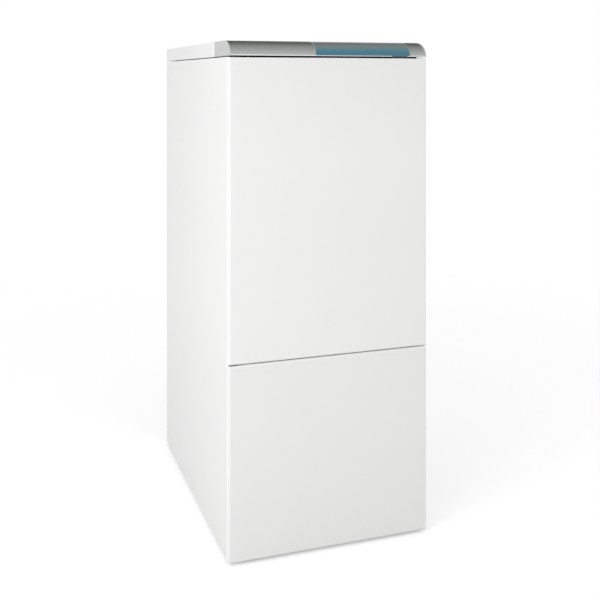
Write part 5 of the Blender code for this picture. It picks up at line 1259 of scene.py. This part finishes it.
def make_burner_plate():
    """Screws, nozzle rings with dark discs of painted shade in their openings, a sight glass, an igniter with
    two electrodes and two stiffening beads.
    """
    face = box("burner")[0].y
    plate = Shape()
    for x in (-150, -75, 0, 75, 150):
        for z in (560, 690.5):
            plate.screw((x, face, z), FORWARD, 3.6, 0, 1)
    for x in NOZZLES_X:
        plate.solid([(face, 15), (face - 0.8, 14.5)], "Y", (x, GAS_Z), 40, 2)
        # A dark disc in each ring: painted shade for the nozzle's opening.
        plate.disc("Y", (x, GAS_Z), face - 0.7, face - 1, 11, 36, 1)
    sight = (-66, 665)
    plate.solid([(face, 15), (face - 3, 15), (face - 4.5, 13), (face - 4.5, 10), (face - 3, 9.5)],
                "Y", sight, 48, 3)
    plate.turned([(face - 2.9, 0), (face - 2.9, 9.6), (face - 3.4, 9), (face - 3.8, 0)], "Y", sight, 40, 4)
    plate.block((42, face - 3, 650), (90, face, 678), 1, 2)
    for x in (56, 76):
        plate.solid([(face - 3, 5), (face - 18, 4.6), (face - 19, 3)], "Y", (x, 664), 28, 5)
        plate.disc("Y", (x, 664), face - 19, face - 25, 1.2, 16)
    for z in (569.5, 680):
        plate.block((-146, face - 1.2, z), (146, face + 0.5, z + 2), 0.8, 2)
    plate.done("burner_plate_fittings", [BRIGHT, BLACK, GALVANISED, CAST_ALLOY, SIGHT, CERAMIC], "cabinet",
               "galvanised", 35)


make_gas_valve()
make_manifold()
make_burner_plate()


# Cast iron body, its wool and the flue hood

def make_iron_faces():
    """Section ribs, a cleaning cover, tie rods with lugs and a sensor pocket."""
    low, high = box("heat_exchanger")
    left, right, face = low.x, high.x, low.y + 12
    iron = Shape()
    for index in range(6):
        x = left + 3 + index * 60
        iron.block((x, face - 4, 706), (x + 54, face + 2, high.z - 4), 2.9, 0, 3)
        if index:
            iron.block((x + 12, face - 6.2, 760), (x + 42, face - 3, 945), 1.5, 0, 3)
    iron.block((10, face - 12, 835), (110, face - 5, 895), 3.4, 0, 3)
    for x in (20, 100):
        iron.hexagon("Y", (x, 865), face - 18.5, face - 12, 12.5, 1)
    rod = face - 9.5
    for z in (730, 1013):
        iron.tube([(left + 4, rod, z), (right - 4, rod, z)], 4, 20, 1)
        for x in (left + 10, right - 20):
            iron.hexagon("X", (rod, z), x, x + 10, 13.5, 1)
        for x in (left + 4, right - 10):
            iron.block((x, face - 17, z - 9), (x + 6, face + 1, z + 9), 1.2)
    pocket = (150, 960)
    iron.disc("Y", pocket, face - 12, face - 4, 9.5, 28, 2)
    iron.hexagon("Y", pocket, face - 20, face - 11.8, 17, 2)
    iron.solid([(face - 20, 5.2), (face - 33, 4.8)], "Y", pocket, 24, 3)
    iron.done("iron_section_faces", [IRON, BRIGHT, BRASS, BLACK], "cabinet", "cast_iron", 35)


def make_wool_bands():
    low, high = box("boiler_insulation")
    inner, outer, front, back = high.x - 0.2, high.x + 1, low.y + 4, high.y
    outline = [(-outer, front), (-inner, front), (-inner, back), (inner, back), (inner, front),
               (outer, front), (outer, back + 1), (-outer, back + 1)]
    bands = Shape()
    for z in (610, 790, 960):
        bands.prism(outline, "Z", z, z + 16)
        for side in (-1, 1):
            bands.block((side * 190 - 10.5, low.y - 1.2, z), (side * 190 + 10.8, low.y + 0.2, z + 16), 0.4)
            bands.screw((side * 185, low.y - 1.2, z + 8), FORWARD, 3.2, 1, 2)
    bands.done("wool_bands", [ZINC, BRIGHT, BLACK], "cabinet", "zinc_steel")


def make_hood_flanges():
    """The hood's screwed flange, a bead, rivets and the rings of its collar."""
    low, high = box("draught_diverter")
    half, base, front, back = high.x, low.z, low.y, 215
    flange = 9
    hood = Shape()
    for left, right, near, far in ((-half - flange, half + flange, front - flange, front),
                                   (-half - flange, -half, front, back), (half, half + flange, front, back)):
        hood.block((left, near, base + 0.2), (right, far + 0.6, base + 1.6), 0.3)
    hood.block((-half - 1, front - 1, base + 43), (half + 1, front + 0.5, base + 47), 0.6)
    for x in (-150, -90, -30, 30, 90, 150):
        hood.screw((x, front - 5.5, base + 1.6), UPWARD, 3.2, 1, 2)
    for y in (-120, 0, 120):
        for side in (-1, 1):
            hood.screw((side * (half + 4.8), y, base + 1.6), UPWARD, 3.2, 1, 2)
    for x in (-130, -65, 0, 65, 130):
        hood.turned([(front, 0), (front, 3.2), (front - 1, 2.8), (front - 1.8, 0)], "Y", (x, base + 33), 20)
    hood.bead("Y", FLUE, back + 3, 65.5, 2.2, 72)
    hood.washer("Y", FLUE, back + 0.2, back + 1.4, 64.5, 77, 72)
    hood.bead("Y", FLUE, 330, 65, 1.6, 72)
    hood.done("hood_flanges", [GALVANISED, BRIGHT, BLACK], "cabinet", "galvanised", 35)


make_iron_faces()
make_wool_bands()
make_hood_flanges()


# Frame bolts, insulation mats, door catches and cable duct

MAT_BACK = -425
MAT_FRONT = -432.6
CATCH_INSET = 70


def make_frame_bolts():
    bolts = Shape()
    low = box("top_crossbar")[0]
    for x in (-274, 274):
        for dz in (11, 27):
            bolts.hexagon("Y", (x, low.z + dz), low.y - 5, low.y, 10)
    for node, side in (("post_front_left", -1), ("post_front_right", 1)):
        low, high = box(node)
        x = (low.x + high.x) / 2
        for z in (30, 534, 1322):
            for step in (-4, 6):
                bolts.hexagon("Y", (x - step * side, z + step * 0.6), low.y - 4.2, low.y, 8.5)
    bolts.done("frame_bolts", [BRIGHT], "cabinet", "zinc_steel", 32)


def make_side_mats():
    mats = Shape()
    for side in (-1, 1):
        outer, inner = side * 285.4, side * 279.4
        for bottom, top in ((62, 505), (565, 1285)):
            mats.block((min(outer, inner), -372, bottom), (max(outer, inner), 355, top), 2)
            for y in (-300, 0, 290):
                for z in (bottom + 60, top - 60):
                    mats.pin(rotated(-90 * side, "Y", inner, y, z), 14, 28)
    mats.done("side_insulation", [FOIL, BRIGHT], "cabinet", "galvanised")


def make_door_mat():
    """The door's insulation mat and the two striker plates of its catches."""
    low, high = box("front_door")
    mat = Shape().block((-254, MAT_FRONT, low.z + 18), (254, MAT_BACK, high.z - 18), 2.5)
    for x in (-215, 0, 215):
        for z in (low.z + 60, (low.z + high.z) / 2, high.z - 60):
            mat.pin(rotated(-90, "X", x, MAT_BACK, z))
    for z in (low.z + CATCH_INSET, high.z - CATCH_INSET):
        mat.block((260, -432.7, z - 25), (280, -430.5, z + 25), 0.4, 1)
        for dz in (-21.5, 21.5):
            mat.screw((270, -430.5, z + dz), REARWARD, 2.4, 1, 2)
    mat.done("door_insulation", [FOIL, BRIGHT, BLACK], "door", "galvanised")


def make_door_catches():
    low, high = box("front_door")
    catch = Shape()
    for z in (low.z + CATCH_INSET, high.z - CATCH_INSET):
        catch.block((263, -429.6, z - 18), (278, -412.3, z + 18), 1.2)
        for x in (266, 272.8):
            catch.block((x, -430.1, z - 14), (x + 2.2, -429, z + 14), 0.2, 1)
    catch.done("door_catches", [BLACK, BRIGHT], "cabinet", "dial_black")


def make_lower_mat():
    low, high = box("lower_panel")
    mat = Shape().block((-254, MAT_FRONT, low.z + 40), (254, MAT_BACK, high.z - 24), 2.5)
    for x in (-215, 215):
        for z in (low.z + 85, high.z - 75):
            mat.pin(rotated(-90, "X", x, MAT_BACK, z))
    mat.done("lower_panel_insulation", [FOIL, BRIGHT], "lower_front", "galvanised")


def make_hinge_screws():
    screws = Shape()
    for y in (-412, -396):
        screws.turned([(1341.6, 0), (1341.6, 3.6), (1342.4, 3), (1342.7, 0)], "Z", (-270, y), 20)
    screws.done("hinge_screws", [BRIGHT], "cabinet", "zinc_steel")


def make_cable_duct():
    """A closed duct up the right post, its slots drawn as dark bars of painted shade."""
    duct = Shape().block((248, -384, 690), (278, -356, 1295), 1.5)
    # Dark bars stand for the slots: painted shade, with no openings.
    for step in range(24):
        z = 705 + step * 24.5
        duct.block((252.5, -384.7, z), (273.5, -383.6, z + 10.5), 0.3, 1)
    duct.done("cable_trunking", [CHEEK, BLACK], "cabinet", "cheek_grey")


make_frame_bolts()
make_side_mats()
make_door_mat()
make_door_catches()
make_lower_mat()
make_hinge_screws()
make_cable_duct()


# Camera, floor and light: metres again

PAPER_WHITE = (1.0, 1.0, 1.0, 1.0)
FLOOR_RADIUS = 14.0
FLOOR_GREY = (222, 222, 222)
FLOOR_LIFT = 0.36
SHADOW_REACH = (1.0, 3.4)


def make_camera():
    data = bpy.data.cameras.new("camera")
    data.lens = 54.894
    data.sensor_width = 36.0
    data.shift_x = 0.0021
    data.shift_y = -0.3714
    data.clip_end = 60.0
    item = bpy.data.objects.new("camera", data)
    item.location = (-0.8974, -2.7623, 1.2864)
    item.rotation_euler = (math.radians(90), 0.0, math.radians(-19.027))
    bpy.context.scene.collection.objects.link(item)
    bpy.context.scene.camera = item
    bpy.context.scene.view_settings.view_transform = "Standard"


def seen_directly(tree):
    """1 for rays that leave the camera, a shiny surface or glass."""
    rays = add(tree, "LightPath").outputs
    seen = add(tree, "Math", {0: rays["Is Camera Ray"], 1: rays["Is Glossy Ray"]}, use_clamp=True).outputs[0]
    return add(tree, "Math", {0: seen, 1: rays["Is Transmission Ray"]}, use_clamp=True).outputs[0]


def make_floor():
    """A pale floor that keeps the shadow near the boiler and turns to the backdrop's white farther out."""
    bm = bmesh.new()
    bmesh.ops.create_circle(bm, cap_ends=True, segments=96, radius=FLOOR_RADIUS)
    mesh = bpy.data.meshes.new("floor")
    bm.to_mesh(mesh)
    bm.free()
    item = bpy.data.objects.new("floor", mesh)
    bpy.context.scene.collection.objects.link(item)
    material = bpy.data.materials.new("floor")
    material.use_nodes = True
    tree = material.node_tree
    shader = tree.nodes["Principled BSDF"]
    shader.inputs["Base Color"].default_value = rgba(FLOOR_GREY)
    shader.inputs["Roughness"].default_value = 0.9
    where = add(tree, "TexCoord").outputs["Object"]
    distance = add(tree, "VectorMath", {0: where}, operation="LENGTH").outputs["Value"]
    seen = seen_directly(tree)
    white_far = both(tree, ranged(tree, distance, *SHADOW_REACH, 0.0, 1.0), seen)
    white = add(tree, "Emission", {"Color": PAPER_WHITE, "Strength": 1.0}).outputs[0]
    lift = add(tree, "Emission", {"Color": PAPER_WHITE, "Strength": both(tree, seen, FLOOR_LIFT)}).outputs[0]
    near = add(tree, "AddShader", {0: shader.outputs[0], 1: lift}).outputs[0]
    mixed = add(tree, "MixShader", {0: white_far, 1: near, 2: white})
    tree.links.new(mixed.outputs[0], tree.nodes["Material Output"].inputs["Surface"])
    mesh.materials.append(material)


def make_world():
    """A soft light from all sides, and a white backdrop."""
    world = bpy.data.worlds.new("studio")
    bpy.context.scene.world = world
    world.use_nodes = True
    tree = world.node_tree
    tree.nodes.clear()
    light = add(tree, "Background", {"Color": PAPER_WHITE, "Strength": 0.79}).outputs[0]
    backdrop = add(tree, "Background", {"Color": PAPER_WHITE, "Strength": 1.0}).outputs[0]
    mixed = add(tree, "MixShader", {0: seen_directly(tree), 1: light, 2: backdrop})
    add(tree, "OutputWorld", {"Surface": mixed.outputs[0]})


def lamp(name, place, target, size, watts):
    """A rectangular lamp that looks at a target."""
    data = bpy.data.lights.new(name, "AREA")
    data.shape = "RECTANGLE"
    data.size = size[0]
    data.size_y = size[1]
    data.energy = watts
    item = bpy.data.objects.new(name, data)
    item.location = place
    item.rotation_euler = (Vector(target) - Vector(place)).to_track_quat("-Z", "Y").to_euler()
    bpy.context.scene.collection.objects.link(item)


make_camera()
make_floor()
make_world()
lamp("key", (-2.1, -1.9, 1.7), (0.0, -0.2, 0.90), (1.4, 1.4), 25.0)
lamp("fill", (2.6, -2.4, 1.9), (0.0, -0.2, 0.95), (1.5, 1.5), 5.0)
lamp("edge", (-2.4, -0.9, 1.3), (-0.28, -0.43, 0.8), (0.10, 1.8), 3.0)
